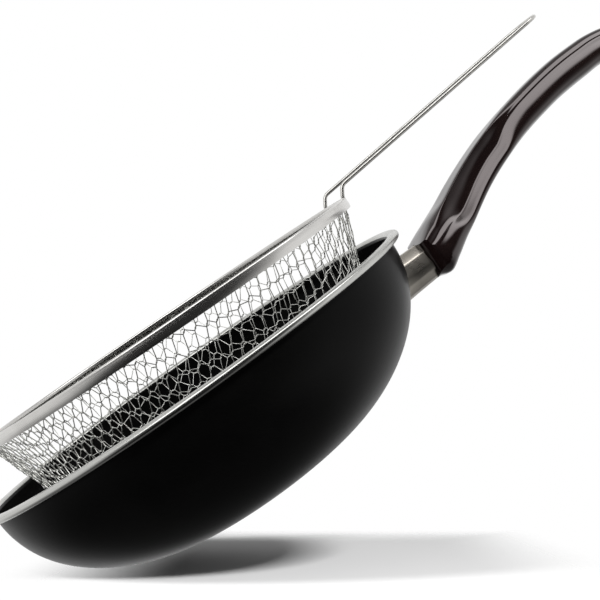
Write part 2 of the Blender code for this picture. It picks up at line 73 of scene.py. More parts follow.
def take_up(piece: bpy.types.Object) -> None:
    """Make one piece the only selected one and the active one.

    Args:
        piece: The piece that the next operators work on.
    """
    clear_selection()
    piece.select_set(True)
    bpy.context.view_layer.objects.active = piece


def apply_modifier(piece: bpy.types.Object, kind: str, **settings: object) -> None:
    """Put a modifier on a piece and apply it at once.

    Args:
        piece: The piece to change.
        kind: Blender's name of the modifier's type.
        settings: The modifier's settings by name.
    """
    take_up(piece)
    modifier = piece.modifiers.new(kind.lower(), kind)
    for name, value in settings.items():
        setattr(modifier, name, value)
    bpy.ops.object.modifier_apply(modifier=modifier.name)


def smooth(piece: bpy.types.Object, angle: float) -> bpy.types.Object:
    """Shade a piece smooth, but for edges sharper than an angle.

    Args:
        piece: The piece to shade.
        angle: The angle in degrees.

    Returns:
        The same piece.
    """
    take_up(piece)
    bpy.ops.object.shade_smooth_by_angle(angle=math.radians(angle))
    return piece


def drop(piece: bpy.types.Object) -> None:
    """Remove a helper object that isn't part of the model."""
    bpy.data.objects.remove(piece, do_unlink=True)


def named(piece: bpy.types.Object, name: str) -> bpy.types.Object:
    """Give a piece and its data one name, and return the piece."""
    piece.name = piece.data.name = name
    return piece


# Ways to make a shape

def arc(centre: Sequence[float], size: Sequence[float], start: float, end: float, steps: int,
        power: float = 1.0) -> list[tuple[float, float]]:
    """Return points along part of an ellipse, or of a squarer oval.

    Args:
        centre: The middle's radius and height.
        size: The half width and half height.
        start: The first point's angle in degrees, from straight outwards.
        end: The last point's angle in degrees.
        steps: The number of steps from the first point to the last.
        power: The power of sine and cosine; below 1 it makes the oval squarer.

    Returns:
        The points in order.
    """
    points = []
    for step in range(steps + 1):
        angle = math.radians(start + (end - start) * step / steps)
        across, upward = (math.copysign(abs(part) ** power, part)
                          for part in (math.cos(angle), math.sin(angle)))
        points.append((centre[0] + size[0] * across, centre[1] + size[1] * upward))
    return points


def spun(name: str, outline: Outline, steps: int, centre: float = 0.0) -> bpy.types.Object:
    """Draw an outline vertex by vertex and spin it a full turn round an upright axis.

    Args:
        name: The new piece's name.
        outline: Points of (radius, height); a ring ends on its first point again.
        steps: The number of steps in the full turn.
        centre: The axis's place along X.

    Returns:
        The turned piece, closed and with its faces outwards.
    """
    clear_selection()
    bpy.ops.mesh.primitive_plane_add(size=START_SIZE)
    piece = named(bpy.context.object, name)
    bpy.ops.object.mode_set(mode="EDIT")
    bpy.ops.mesh.select_all(action="SELECT")
    bpy.ops.mesh.merge(type="CENTER")
    bpy.ops.transform.translate(value=(centre + outline[0][0], 0.0, outline[0][1]))
    for (radius, height), (next_radius, next_height) in zip(outline, outline[1:]):
        bpy.ops.mesh.extrude_region_move(TRANSFORM_OT_translate={
            "value": (next_radius - radius, 0.0, next_height - height)})
    bpy.ops.mesh.select_all(action="SELECT")
    bpy.ops.mesh.remove_doubles(threshold=MERGE_REACH)
    bpy.ops.mesh.spin(steps=steps, angle=math.tau, center=(centre, 0.0, 0.0), axis=(0.0, 0.0, 1.0))
    bpy.ops.mesh.select_all(action="SELECT")
    bpy.ops.mesh.remove_doubles(threshold=MERGE_REACH)
    bpy.ops.mesh.normals_make_consistent(inside=False)
    bpy.ops.object.mode_set(mode="OBJECT")
    return piece


def lofted(name: str, rings: Sequence[Sequence[Vector]]) -> bpy.types.Object:
    """Extrude a circle once for each ring, then lay its vertices on the rings.

    The moulded sections change their form along the piece, which scaling a circle can't give.

    Args:
        name: The new piece's name.
        rings: The rings in order, each with the same number of points.

    Returns:
        The closed piece.
    """
    clear_selection()
    bpy.ops.mesh.primitive_circle_add(vertices=len(rings[0]), radius=START_SIZE, fill_type="NGON")
    piece = named(bpy.context.object, name)
    bpy.ops.object.mode_set(mode="EDIT")
    bpy.ops.mesh.select_all(action="SELECT")
    for _ in rings[1:]:
        bpy.ops.mesh.extrude_region_move(TRANSFORM_OT_translate={"value": (0.0, 0.0, START_SIZE)})
    bpy.ops.object.mode_set(mode="OBJECT")
    for vertex in piece.data.vertices:
        level = round(vertex.co.z / START_SIZE)
        turn = math.atan2(vertex.co.y, vertex.co.x) / math.tau
        step = round(turn * len(rings[0])) % len(rings[0])
        vertex.co = rings[level][step]
    bpy.ops.object.mode_set(mode="EDIT")
    bpy.ops.mesh.select_all(action="SELECT")
    bpy.ops.mesh.normals_make_consistent(inside=False)
    bpy.ops.object.mode_set(mode="OBJECT")
    return piece


def drawn_wire(name: str, routes: Iterable[Sequence[Vector]], radius: float,
               fineness: int) -> bpy.types.Object:
    """Draw round wires along routes and make them one mesh.

    Args:
        name: The new piece's name.
        routes: The points that each wire follows.
        radius: The wire's radius.
        fineness: 0 for four sides, 1 for six, and so on.

    Returns:
        The wires as one piece with closed ends.
    """
    curve = bpy.data.curves.new(name, "CURVE")
    curve.dimensions = "3D"
    curve.bevel_depth = radius
    curve.bevel_resolution = fineness
    curve.use_fill_caps = True
    for route in routes:
        spline = curve.splines.new("POLY")
        spline.points.add(len(route) - 1)
        for point, place in zip(spline.points, route):
            point.co = (*place, 1.0)
    piece = bpy.data.objects.new(name, curve)
    bpy.context.scene.collection.objects.link(piece)
    take_up(piece)
    bpy.ops.object.convert(target="MESH")
    return named(bpy.context.object, name)


def box_tool(low: Sequence[float], high: Sequence[float]) -> bpy.types.Object:
    """Add a box between two corners, as a tool to cut with.

    Args:
        low: The lowest corner.
        high: The highest corner.

    Returns:
        The box.
    """
    clear_selection()
    centre = [(a + b) / 2 for a, b in zip(low, high)]
    size = [b - a for a, b in zip(low, high)]
    bpy.ops.mesh.primitive_cube_add(size=1.0, location=centre)
    bpy.ops.transform.resize(value=size, center_override=centre)
    bpy.ops.object.transform_apply(location=True, rotation=True, scale=True)
    return bpy.context.object


def carve(piece: bpy.types.Object, tool: bpy.types.Object, operation: str = "DIFFERENCE") -> None:
    """Cut a tool out of a piece, or join it on, and remove the tool.

    Args:
        piece: The piece to change.
        tool: The closed shape to cut or join.
        operation: DIFFERENCE or UNION.
    """
    apply_modifier(piece, "BOOLEAN", operation=operation, solver="EXACT", object=tool)
    drop(tool)


def rounded(corners: Sequence[Sequence[float]], radius: float, steps: int) -> list[Vector]:
    """Replace each inner corner of a route by an arc.

    Args:
        corners: The corners of the route.
        radius: The radius of each arc.
        steps: The number of steps in an arc.

    Returns:
        The points of the rounded route.
    """
    points = [Vector(corner) for corner in corners]
    route = [points[0]]
    for before, corner, after in zip(points, points[1:], points[2:]):
        to_before = (before - corner).normalized()
        to_after = (after - corner).normalized()
        half = to_before.angle(to_after) / 2
        centre = corner + (to_before + to_after).normalized() * radius / math.sin(half)
        start = corner + to_before * radius / math.tan(half) - centre
        axis = start.cross(corner + to_after * radius / math.tan(half) - centre)
        for step in range(steps + 1):
            turn = Matrix.Rotation((math.pi - 2 * half) * step / steps, 3, axis)
            route.append(centre + turn @ start)
    route.append(points[-1])
    return route


def smooth_table(rows: Sequence[Sequence[float]], steps: int) -> np.ndarray:
    """Run a smooth curve through the rows of a table.

    Args:
        rows: The rows that the curve meets.
        steps: The number of new rows for each span.

    Returns:
        The finer table.
    """
    values = np.array(rows, dtype=float)
    padded = np.vstack([2 * values[0] - values[1], values, 2 * values[-1] - values[-2]])
    fine = []
    for index in range(len(values) - 1):
        before, start, finish, after = padded[index:index + 4]
        for step in range(steps):
            t = step / steps
            fine.append(0.5 * (2 * start + (finish - before) * t
                               + (2 * before - 5 * start + 4 * finish - after) * t ** 2
                               + (3 * start - before - 3 * finish + after) * t ** 3))
    fine.append(values[-1])
    return np.array(fine)


# Finishes

class Lay(Enum):
    """Which way the fine marks of a finish run."""

    EVEN = "even"
    TURNED = "turned"
    LENGTHWISE = "lengthwise"


class NodeBench:
    """Adds and joins the nodes of one node tree."""

    def __init__(self, tree: bpy.types.NodeTree) -> None:
        """Keep the tree to work on."""
        self.tree = tree

    def add(self, kind: str, feeds: Optional[Feeds] = None, **settings: object) -> bpy.types.Node:
        """Add a node.

        Args:
            kind: The node's type, without its ShaderNode beginning.
            feeds: What goes into its inputs, by their name or number.
            settings: The node's own settings by name.

        Returns:
            The new node.
        """
        node = self.tree.nodes.new(kind if kind.startswith("NodeGroup") else "ShaderNode" + kind)
        for name, value in settings.items():
            setattr(node, name, value)
        self.feed(node, feeds or {})
        return node

    def feed(self, node: bpy.types.Node, feeds: Feeds) -> None:
        """Join sockets to a node's inputs, or set plain values on them.

        Args:
            node: The node.
            feeds: A socket or a plain value for each input, by its name or number.
        """
        for key, value in feeds.items():
            if isinstance(value, bpy.types.NodeSocket):
                self.tree.links.new(value, node.inputs[key])
            else:
                node.inputs[key].default_value = value

    def maths(self, operation: str, first: Feed, second: Feed = 0.0) -> bpy.types.NodeSocket:
        """Add a Math node for sockets or plain numbers and return its output."""
        return self.add("Math", {0: first, 1: second}, operation=operation).outputs[0]

    def ramp(self, value: bpy.types.NodeSocket, low: float, high: float, to_low: float,
             to_high: float, smoothly: bool = False) -> bpy.types.NodeSocket:
        """Map a value from one range to another and clamp it there.

        Args:
            value: The value to map.
            low: The value that becomes to_low.
            high: The value that becomes to_high.
            to_low: The result at low.
            to_high: The result at high.
            smoothly: Whether the result eases in and out.

        Returns:
            The mapped value.
        """
        node = self.add("MapRange", {"Value": value, "From Min": low, "From Max": high,
                                     "To Min": to_low, "To Max": to_high},
                        interpolation_type="SMOOTHSTEP" if smoothly else "LINEAR")
        return node.outputs["Result"]

    def blend(self, factor: bpy.types.NodeSocket, first: Feed, second: Feed) -> bpy.types.NodeSocket:
        """Mix two colours by a factor that changes.

        Args:
            factor: The share of the second colour.
            first: The first colour, or the socket that gives it.
            second: The second colour, or the socket that gives it.

        Returns:
            The mixed colour.
        """
        ends = [end if isinstance(end, bpy.types.NodeSocket) else (*end, 1.0)
                for end in (first, second)]
        return self.add("Mix", {0: factor, 6: ends[0], 7: ends[1]}, data_type="RGBA").outputs[2]


class MarkGroups:
    """The node groups that the finishes share, each built once."""

    def __init__(self) -> None:
        """Build the groups."""
        self.handling = self.build_handling()
        self.grain = self.build_grain()

    @staticmethod
    def open_group(name: str, numbers: Mapping[str, float],
                   results: Sequence[str]) -> tuple[NodeBench, bpy.types.Node, bpy.types.Node]:
        """Start a node group with a Vector input, some number inputs and number outputs.

        Args:
            name: The group's name.
            numbers: The default of each number input by its name.
            results: The names of the outputs.

        Returns:
            The bench, the group's input node and its output node.
        """
        tree = bpy.data.node_groups.new(name, "ShaderNodeTree")
        tree.interface.new_socket("Vector", in_out="INPUT", socket_type="NodeSocketVector")
        for label, value in numbers.items():
            socket = tree.interface.new_socket(label, in_out="INPUT", socket_type="NodeSocketFloat")
            socket.default_value = value
        for label in results:
            tree.interface.new_socket(label, in_out="OUTPUT", socket_type="NodeSocketFloat")
        bench = NodeBench(tree)
        return bench, bench.add("NodeGroupInput"), bench.add("NodeGroupOutput")

    def build_handling(self) -> bpy.types.NodeTree:
        """Build the group of soft smudges and fine specks that handling leaves.

        Returns:
            The group, with the outputs Smudge and Specks.
        """
        bench, start, end = self.open_group(
            "handling_marks", {"Smudge Scale": 30.0, "Speck Scale": 900.0}, ("Smudge", "Specks"))
        places = start.outputs["Vector"]
        clouds = bench.add("TexNoise", {"Vector": places, "Scale": start.outputs["Smudge Scale"],
                                        "Detail": 4.0, "Roughness": 0.55, "Distortion": 0.4})
        dust = bench.add("TexNoise", {"Vector": places, "Scale": start.outputs["Speck Scale"],
                                      "Detail": 1.0})
        bench.feed(end, {"Smudge": bench.ramp(clouds.outputs[0], 0.35, 0.68, 0.0, 1.0, True),
                         "Specks": bench.ramp(dust.outputs[0], 0.66, 0.78, 0.0, 1.0)})
        return bench.tree

    def build_grain(self) -> bpy.types.NodeTree:
        """Build the group of fine grain that may be drawn out round the pan's axis.

        Returns:
            The group, with the outputs Height and Lines.
        """
        bench, start, end = self.open_group(
            "drawn_grain", {"Grain Scale": 1500.0, "Draw": 0.0}, ("Height", "Lines"))
        places = start.outputs["Vector"]
        apart = bench.add("SeparateXYZ", {0: places})
        squares = [bench.maths("POWER", apart.outputs[axis], 2.0) for axis in (0, 1)]
        reach = bench.maths("SQRT", bench.maths("ADD", *squares))
        turned = bench.add("CombineXYZ", {0: reach, 2: apart.outputs[2]})
        chosen = bench.add("Mix", {0: start.outputs["Draw"], 4: places, 5: turned.outputs[0]},
                           data_type="VECTOR")
        fine = bench.add("TexNoise", {"Vector": chosen.outputs[1],
                                      "Scale": start.outputs["Grain Scale"], "Detail": 2.0})
        bench.feed(end, {"Height": fine.outputs[0],
                         "Lines": bench.ramp(fine.outputs[0], 0.3, 0.7, 0.0, 1.0)})
        return bench.tree


@dataclass(frozen=True)
class Finish:
    """One finish of the object: colours, gloss and the scale of its marks.

    The colours and the gloss go from clean to worn. A lengthwise lay draws its marks out along X.
    """

    slot: str
    colour: Triple
    worn_colour: Triple
    gloss: tuple[float, float]
    smudge_scale: float
    grain_scale: float
    grain_depth: float
    lay: Lay = Lay.EVEN
    metallic: float = 1.0
    coat: float = 0.0
    coat_roughness: float = 0.1
    specular: float = 0.5
    tint: Triple = (1.0, 1.0, 1.0)
    smudge_share: float = 0.6
    line_share: float = 0.4
    speck_share: float = 0.0
    lengthwise_scale: float = 0.08
    bump_strength: float = 0.5

    def make(self, groups: MarkGroups) -> bpy.types.Material:
        """Build the finish as a node material.

        Args:
            groups: The shared node groups.

        Returns:
            The material.
        """
        material = bpy.data.materials.new(self.slot + "_finish")
        material.use_nodes = True
        bench = NodeBench(material.node_tree)
        places = drawn = bench.add("TexCoord").outputs["Object"]
        if self.lay is Lay.LENGTHWISE:
            scale = (self.lengthwise_scale, 1.0, 1.0)
            drawn = bench.add("Mapping", {"Vector": places, "Scale": scale}).outputs[0]
        marks = bench.add("Group", {"Vector": places, "Smudge Scale": self.smudge_scale},
                          node_tree=groups.handling)
        grain = bench.add("Group", {"Vector": drawn, "Grain Scale": self.grain_scale,
                                    "Draw": float(self.lay is Lay.TURNED)}, node_tree=groups.grain)
        shade = bench.maths("MULTIPLY", marks.outputs["Smudge"], self.smudge_share)
        for mark, share in ((grain.outputs["Lines"], self.line_share),
                            (marks.outputs["Specks"], self.speck_share)):
            shade = bench.maths("ADD", shade, bench.maths("MULTIPLY", mark, share))
        bump = bench.add("Bump", {"Height": grain.outputs["Height"], "Strength": self.bump_strength,
                                  "Distance": self.grain_depth})
        bench.feed(bench.tree.nodes["Principled BSDF"], {
            "Metallic": self.metallic, "Specular IOR Level": self.specular,
            "Specular Tint": (*self.tint, 1.0), "Coat Weight": self.coat,
            "Coat Roughness": self.coat_roughness, "Normal": bump.outputs["Normal"],
            "Base Color": bench.blend(shade, self.colour, self.worn_colour),
            "Roughness": bench.ramp(shade, 0.0, 1.0, *self.gloss)})
        return material


ENAMEL = Finish("black_enamel", (0.0012, 0.0012, 0.0012), (0.0026, 0.0026, 0.0025), gloss=(0.28, 0.36),
                smudge_scale=18.0, grain_scale=1400.0, grain_depth=0.00003, metallic=0.0, coat=0.07,
                coat_roughness=0.14, specular=0.02, speck_share=0.3)
BRIGHT_RIM = Finish("bright_rim", (0.52, 0.52, 0.50), (0.42, 0.42, 0.40), gloss=(0.22, 0.32),
                    smudge_scale=25.0, grain_scale=2600.0, grain_depth=0.00001, lay=Lay.TURNED)
BRACKET_STEEL = Finish("bracket_steel", (0.46, 0.45, 0.43), (0.36, 0.35, 0.34), gloss=(0.30, 0.42),
                       smudge_scale=60.0, grain_scale=1800.0, grain_depth=0.00003)
FERRULE_STEEL = Finish("ferrule_steel", (0.42, 0.39, 0.35), (0.35, 0.33, 0.29), gloss=(0.26, 0.36),
                       smudge_scale=70.0, grain_scale=2200.0, grain_depth=0.00001, lay=Lay.LENGTHWISE)
MOULDING = Finish("brown_moulding", (0.005, 0.0026, 0.0027), (0.008, 0.0045, 0.004), gloss=(0.10, 0.16),
                  smudge_scale=45.0, grain_scale=1100.0, grain_depth=0.000008, lay=Lay.LENGTHWISE,
                  metallic=0.0, coat=0.3, coat_roughness=0.06, specular=0.62, tint=(1.0, 0.89, 0.89),
                  speck_share=0.15)
SCREW_STEEL = Finish("screw_steel", (0.55, 0.54, 0.51), (0.42, 0.41, 0.39), gloss=(0.24, 0.36),
                     smudge_scale=200.0, grain_scale=3000.0, grain_depth=0.00002)
BAND_STEEL = Finish("band_steel", (0.66, 0.65, 0.63), (0.56, 0.55, 0.53), gloss=(0.20, 0.30),
                    smudge_scale=30.0, grain_scale=2200.0, grain_depth=0.00002, lay=Lay.TURNED)
NET_STEEL = Finish("net_steel", (0.66, 0.66, 0.63), (0.50, 0.50, 0.47), gloss=(0.22, 0.36),
                   smudge_scale=120.0, grain_scale=2500.0, grain_depth=0.00002)
WIRE_STEEL = Finish("wire_steel", (0.58, 0.57, 0.54), (0.48, 0.47, 0.45), gloss=(0.24, 0.34),
                    smudge_scale=90.0, grain_scale=1500.0, grain_depth=0.000002, lay=Lay.LENGTHWISE)


@dataclass
class Workshop:
    """Dresses finished pieces and hangs them on the frame's bodies."""

    groups: MarkGroups
    made: dict[str, bpy.types.Material]

    def dress(self, piece: bpy.types.Object, finish: Finish, body: str, *nodes: str) -> None:
        """Give a piece its finish and its body, and let it stand for its CAD nodes.

        Args:
            piece: The finished piece.
            finish: The finish that it gets.
            body: The CAD body that it rides on.
            nodes: The CAD nodes that it replaces.
        """
        if finish.slot not in self.made:
            self.made[finish.slot] = finish.make(self.groups)
        piece.data.materials.clear()
        piece.data.materials.append(self.made[finish.slot])
        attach(piece, body)
        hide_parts(*nodes)
        log.info("%s: %d faces, rides on %s, stands for %s", piece.name,
                 len(piece.data.polygons), body, ", ".join(nodes))


# The pan

@dataclass
class Bowl:
    """The pressed bowl: a flat base and a wall that rounds up to the rim, with its rim bead.

    bead_fold is the inside of the bead's sheet, counted from the wall's top and the lip's middle.
    """

    rim_radius: float = 0.140
    base_radius: float = 0.0573
    height: float = 0.0730
    sheet: float = 0.0016
    out_power: float = 1.58
    up_power: float = 2.18
    rim_overhang: float = 0.0060
    lip_step: float = 0.0004
    lip_crease: float = 0.0002
    lip_round: float = 0.0012
    bead_height: float = 0.0044
    bead_wall: float = 0.0021
    bead_cover: float = 0.0008
    bead_power: float = 0.86
    bead_fold: Outline = ((0.0016, -0.0015), (0.0012, -0.0005), (0.0040, -0.0010), (0.0040, 0.0011),
                          (-0.0002, 0.0011))
    base_recess: float = 0.0005
    recess_radius: float = 0.0490
    recess_edge: float = 0.0012
    wall_steps: int = 48
    turn_steps: int = 192

    @property
    def wall_top(self) -> float:
        """Return the radius of the wall where it meets the rim."""
        return self.rim_radius - self.rim_overhang

    def outside(self, share: float) -> Vector:
        """Return a point of the outer surface.

        Args:
            share: The share of the curve, from 0 at the base to 1 at the rim.

        Returns:
            The point's radius and height.
        """
        angle = share * math.pi / 2
        bulge = math.sin(angle) ** (2 / self.out_power)
        rise = 1 - max(math.cos(angle), 0.0) ** (2 / self.up_power)
        reach = self.wall_top - self.base_radius
        return Vector((self.base_radius + reach * bulge, self.height * rise))

    def point(self, share: float, inset: float = 0.0) -> tuple[float, float]:
        """Return a point of the bowl's outline, moved in from its outside.

        Args:
            share: The share of the curve, from 0 at the base to 1 at the rim.
            inset: How far the point lies inside the outer surface.

        Returns:
            The point's radius and height.
        """
        near = 0.001
        along = self.outside(min(share + near, 1.0)) - self.outside(max(share - near, 0.0))
        if share <= 0.0:
            along = Vector((1.0, 0.0))
        if share >= 1.0:
            along = Vector((0.0, 1.0))
        place = self.outside(share) + inset * Vector((-along.y, along.x)).normalized()
        return place.x, place.y

    def wall_radius(self, height: float, outset: float) -> float:
        """Return the radius, at a height, of the surface that lies outside the bowl by outset.

        Args:
            height: The height above the base.
            outset: The distance from the bowl's outer surface.

        Returns:
            The radius.
        """
        low, high = 0.0, 1.0
        for _ in range(40):
            middle = (low + high) / 2
            if self.point(middle, -outset)[1] < height:
                low = middle
            else:
                high = middle
        return self.point(low, -outset)[0]

    def build_shell(self) -> bpy.types.Object:
        """Spin the bowl's shell, with its lip under the bead and a shallow recess in its base.

        Returns:
            The shell.
        """
        shares = [step / self.wall_steps for step in range(self.wall_steps + 1)]
        lip_low = self.height + self.lip_step
        lip_top = lip_low + self.sheet
        reach = self.rim_radius - self.bead_wall - GAP
        outline = [(0.0, self.base_recess), (self.recess_radius - self.recess_edge, self.base_recess),
                   (self.recess_radius - self.recess_edge / 2, self.base_recess * 0.8),
                   (self.recess_radius, self.base_recess * 0.2),
                   (self.recess_radius + self.recess_edge / 2, 0.0)]
        outline += [self.point(share) for share in shares]
        outline += [(self.wall_top + self.lip_crease, lip_low), (reach, lip_low), (reach, lip_top),
                    (self.wall_top, lip_top),
                    (self.wall_top - self.sheet * 0.7, lip_top - self.lip_round / 3),
                    (self.wall_top - self.sheet, lip_top - self.lip_round)]
        outline += [self.point(share, self.sheet) for share in reversed(shares)]
        return smooth(spun("bowl_shell", outline + [(0.0, self.sheet)], self.turn_steps), 40.0)

    def build_bead(self) -> bpy.types.Object:
        """Spin the bright bead that is rolled over the lip, a full round with a flatter outside.

        Returns:
            The bead.
        """
        middle = self.height + self.lip_step + self.sheet / 2
        inner = self.wall_top - self.bead_cover
        centre = ((self.rim_radius + inner) / 2, middle)
        size = ((self.rim_radius - inner) / 2, self.bead_height / 2)
        outline = arc(centre, size, 168, -96, 28, self.bead_power)
        outline += [(self.wall_top + across, middle + upward) for across, upward in self.bead_fold]
        return smooth(spun("rim_bead", outline + outline[:1], self.turn_steps), 50.0)


@dataclass
class Handle:
    """Everything that carries the pan: bracket, ferrule, moulded grip and its screw.

    weld_notch is the near and the far corner of a notch at the ferrule's foot. The facets are
    half of the ferrule's section, from its top to its bottom, as shares of half its size. The
    flare is how far each place along the ferrule is spread, as pairs of distance and factor. The
    screw_edge rounds the screw's head, counted from the head's radius and its face.
    """

    bowl: Bowl
    level: float = 0.0460
    plate_width: float = 0.036
    plate_height: float = 0.028
    plate_thickness: float = 0.0020
    plate_corner: float = 0.0060
    plate_edge: float = 0.0005
    plate_away: float = 0.17
    bar_width: float = 0.0120
    bar_height: float = 0.0060
    bar_in_grip: float = 0.0230
    ferrule_length: float = 0.0248
    ferrule_width: float = 0.0212
    ferrule_height: float = 0.0240
    ferrule_drop: float = 0.0014
    facets: Outline = ((0.00, 1.00), (0.22, 0.98), (0.74, 0.53), (1.00, -0.12), (0.97, -0.45),
                       (0.69, -0.83), (0.28, -1.00), (0.00, -1.02))
    facet_round: float = 0.07
    flare: Outline = ((0.0000, 1.15), (0.0009, 1.15), (0.0013, 1.11), (0.0020, 1.05), (0.0032, 1.02),
                      (0.0120, 1.0), (0.0288, 0.985))
    weld_notch: tuple[Triple, Triple] = ((0.0016, 0.0035, 0.0046), (0.0060, 0.0090, 0.0150))
    nose: float = 0.1533
    nose_flat: float = 0.0090
    nose_bend: float = 130.0
    nose_half: float = 0.0195
    nose_back: float = 0.02
    nose_tall: float = 0.03
    socket_ease: float = 1.02
    grip_length: float = 0.226
    tail: Outline = ((0.14, 0.0010), (0.40, 0.0018), (0.75, 0.0022))
    head_height: float = 0.0275
    screw_from_face: float = 0.0130
    screw_head_radius: float = 0.0045
    screw_head_height: float = 0.0026
    screw_recess: float = 0.0060
    screw_edge: Outline = ((-0.0012, 0.0001), (-0.0004, 0.0004), (0.0, 0.0010))
    tip_chamfer: float = 0.0008
    shank_radius: float = 0.0025
    slot_size: tuple[float, float] = (0.0010, 0.0011)
    hole_radius: float = 0.0048
    hole_flare: float = 0.0022
    hole_from_end: float = 0.0170
    plug_length: float = 1.08

    @property
    def plate_out(self) -> float:
        """Return how far the plate's outer face stands off the wall, with a gap on each side."""
        return self.plate_thickness + 2 * GAP

    @property
    def start(self) -> float:
        """Return where the grip begins along X."""
        return self.bowl.wall_radius(self.level, self.plate_out) + self.ferrule_length

    @property
    def foot(self) -> float:
        """Return where the ferrule begins along X."""
        return self.start - self.ferrule_length

    @property
    def seat(self) -> float:
        """Return the height of the face that the screw's head bears on."""
        return self.level - self.head_height / 2 + self.screw_recess

    @property
    def screw_x(self) -> float:
        """Return the place of the screw's axis along X."""
        return self.start + self.screw_from_face

    def build_bracket(self, shell: bpy.types.Object) -> bpy.types.Object:
        """Press a plate to the bowl's wall and join the bar on that enters the grip.

        Args:
            shell: The bowl's shell, which the plate is pressed against.

        Returns:
            The bracket.
        """
        clear_selection()
        bpy.ops.mesh.primitive_grid_add(x_subdivisions=18, y_subdivisions=14, size=1.0)
        plate = named(bpy.context.object, "bracket_plate")
        bpy.ops.object.mode_set(mode="EDIT")
        bpy.ops.mesh.select_all(action="SELECT")
        bpy.ops.transform.resize(value=(self.plate_height, self.plate_width, 1.0),
                                 center_override=(0.0, 0.0, 0.0))
        reach_x = self.plate_height / 2 - self.plate_corner
        reach_y = self.plate_width / 2 - self.plate_corner
        for side_x, side_y, turn in product((1, -1), (1, -1), (22.5, 45.0, 67.5)):
            angle = math.radians(turn)
            facing = Vector((side_x * math.cos(angle), side_y * math.sin(angle), 0.0))
            centre = Vector((side_x * reach_x, side_y * reach_y, 0.0))
            bpy.ops.mesh.select_all(action="SELECT")
            bpy.ops.mesh.bisect(plane_co=centre + facing * self.plate_corner, plane_no=facing,
                                clear_outer=True)
        bpy.ops.object.mode_set(mode="OBJECT")
        plate.data.transform(Matrix.Translation((self.plate_away, 0.0, self.level))
                             @ Matrix.Rotation(math.radians(90), 4, "Y"))
        apply_modifier(plate, "SHRINKWRAP", target=shell, wrap_method="PROJECT", use_project_x=True,
                       use_negative_direction=True, use_positive_direction=True, offset=GAP)
        outwards = plate.data.polygons[0].normal.x > 0
        apply_modifier(plate, "SOLIDIFY", thickness=self.plate_thickness,
                       offset=1.0 if outwards else -1.0)
        apply_modifier(plate, "BEVEL", width=self.plate_edge, segments=2, limit_method="ANGLE",
                       angle_limit=math.radians(50))
        low, high = self.level - self.bar_height / 2, self.level + self.bar_height / 2
        bar_start = self.bowl.wall_radius(high, self.plate_out / 2)
        carve(plate, box_tool((bar_start, -self.bar_width / 2, low),
                              (self.start + self.bar_in_grip, self.bar_width / 2, high)), "UNION")
        return smooth(plate, 35.0)

    def build_ferrule(self) -> bpy.types.Object:
        """Loft the faceted sleeve, flared where it sits on the plate.

        Returns:
            The ferrule.
        """
        corners = [Vector(pair) for pair in self.facets]
        corners += [Vector((-across, upward)) for across, upward in reversed(self.facets[1:-1])]
        section = []
        for before, corner, after in zip(corners[-1:] + corners[:-1], corners,
                                         corners[1:] + corners[:1]):
            if corner.x == 0.0:
                section.append(corner)
                continue
            to_before = (before - corner).normalized() * self.facet_round
            to_after = (after - corner).normalized() * self.facet_round
            for share in (0.0, 0.25, 0.5, 0.75, 1.0):
                first = corner + to_before * (1 - share)
                section.append(first.lerp(corner + to_after * share, share))
        rings = []
        for out, spread in self.flare:
            near = max(0.0, 1 - out / self.ferrule_length)
            ring = []
            for across, upward in section:
                side = across * spread * self.ferrule_width / 2
                height = self.level + upward * spread * self.ferrule_height / 2
                height -= self.ferrule_drop * max(-upward, 0.0) * near
                wall = math.sqrt(self.bowl.wall_radius(height, self.plate_out) ** 2 - side ** 2)
                ring.append(Vector((self.foot + out + (wall - self.foot) * near, side, height)))
            rings.append(ring)
        return lofted("ferrule_sleeve", rings)

    def finish_ferrule(self, ferrule: bpy.types.Object) -> bpy.types.Object:
        """Cut the small weld notch at each side of the ferrule's foot and shade it.

        Args:
            ferrule: The lofted sleeve.

        Returns:
            The finished ferrule.
        """
        near, far = self.weld_notch
        for side in (1, -1):
            low_y, high_y = sorted((side * near[1], side * far[1]))
            carve(ferrule, box_tool((self.foot + near[0], low_y, self.level + near[2]),
                                    (self.foot + far[0], high_y, self.level + far[2])))
        return smooth(ferrule, 30.0)

    @staticmethod
    def grip_stations() -> np.ndarray:
        """Run a smooth curve through the grip's stations, which the table gives in millimetres.

        Returns:
            Rows from head to tail: the top's x and z, the foot's x and z, the half width and the
            form, which is 0 for the nose, 1 for the collar, 2 for the deep end of the side
            hollow, 3 for its shallow end and 4 for the palm.
        """
        rows = ((149.0, 55.0, 149.0, 33.8, 17.3, 0.0), (153.1, 57.5, 155.5, 33.6, 17.5, 0.1),
                (160.1, 61.6, 163.0, 31.9, 17.6, 0.5), (166.5, 64.8, 170.9, 36.6, 17.4, 0.95),
                (172.6, 67.0, 181.6, 42.8, 16.3, 1.25), (182.7, 70.3, 191.1, 47.6, 14.7, 1.9),
                (193.8, 75.3, 201.9, 53.2, 13.4, 2.1), (204.3, 79.7, 212.8, 58.5, 12.8, 2.6),
                (217.6, 84.6, 224.2, 63.2, 12.5, 3.0), (231.0, 88.8, 236.7, 67.6, 12.6, 3.0),
                (245.2, 92.7, 250.3, 71.6, 12.8, 3.7), (259.6, 95.8, 262.5, 74.4, 13.2, 4.0),
                (273.5, 98.3, 274.8, 76.6, 13.6, 4.0), (286.9, 100.2, 287.5, 78.5, 13.9, 4.0),
                (301.6, 101.6, 300.4, 79.6, 14.1, 4.0), (316.3, 102.0, 313.2, 80.2, 14.3, 4.0),
                (330.2, 101.7, 326.6, 80.8, 14.4, 4.0), (346.0, 99.0, 340.5, 79.3, 14.5, 4.0),
                (365.3, 92.6, 359.5, 75.8, 14.0, 4.0), (379.3, 86.2, 374.6, 72.4, 11.6, 4.0),
                (384.2, 81.0, 381.2, 73.4, 7.0, 4.0))
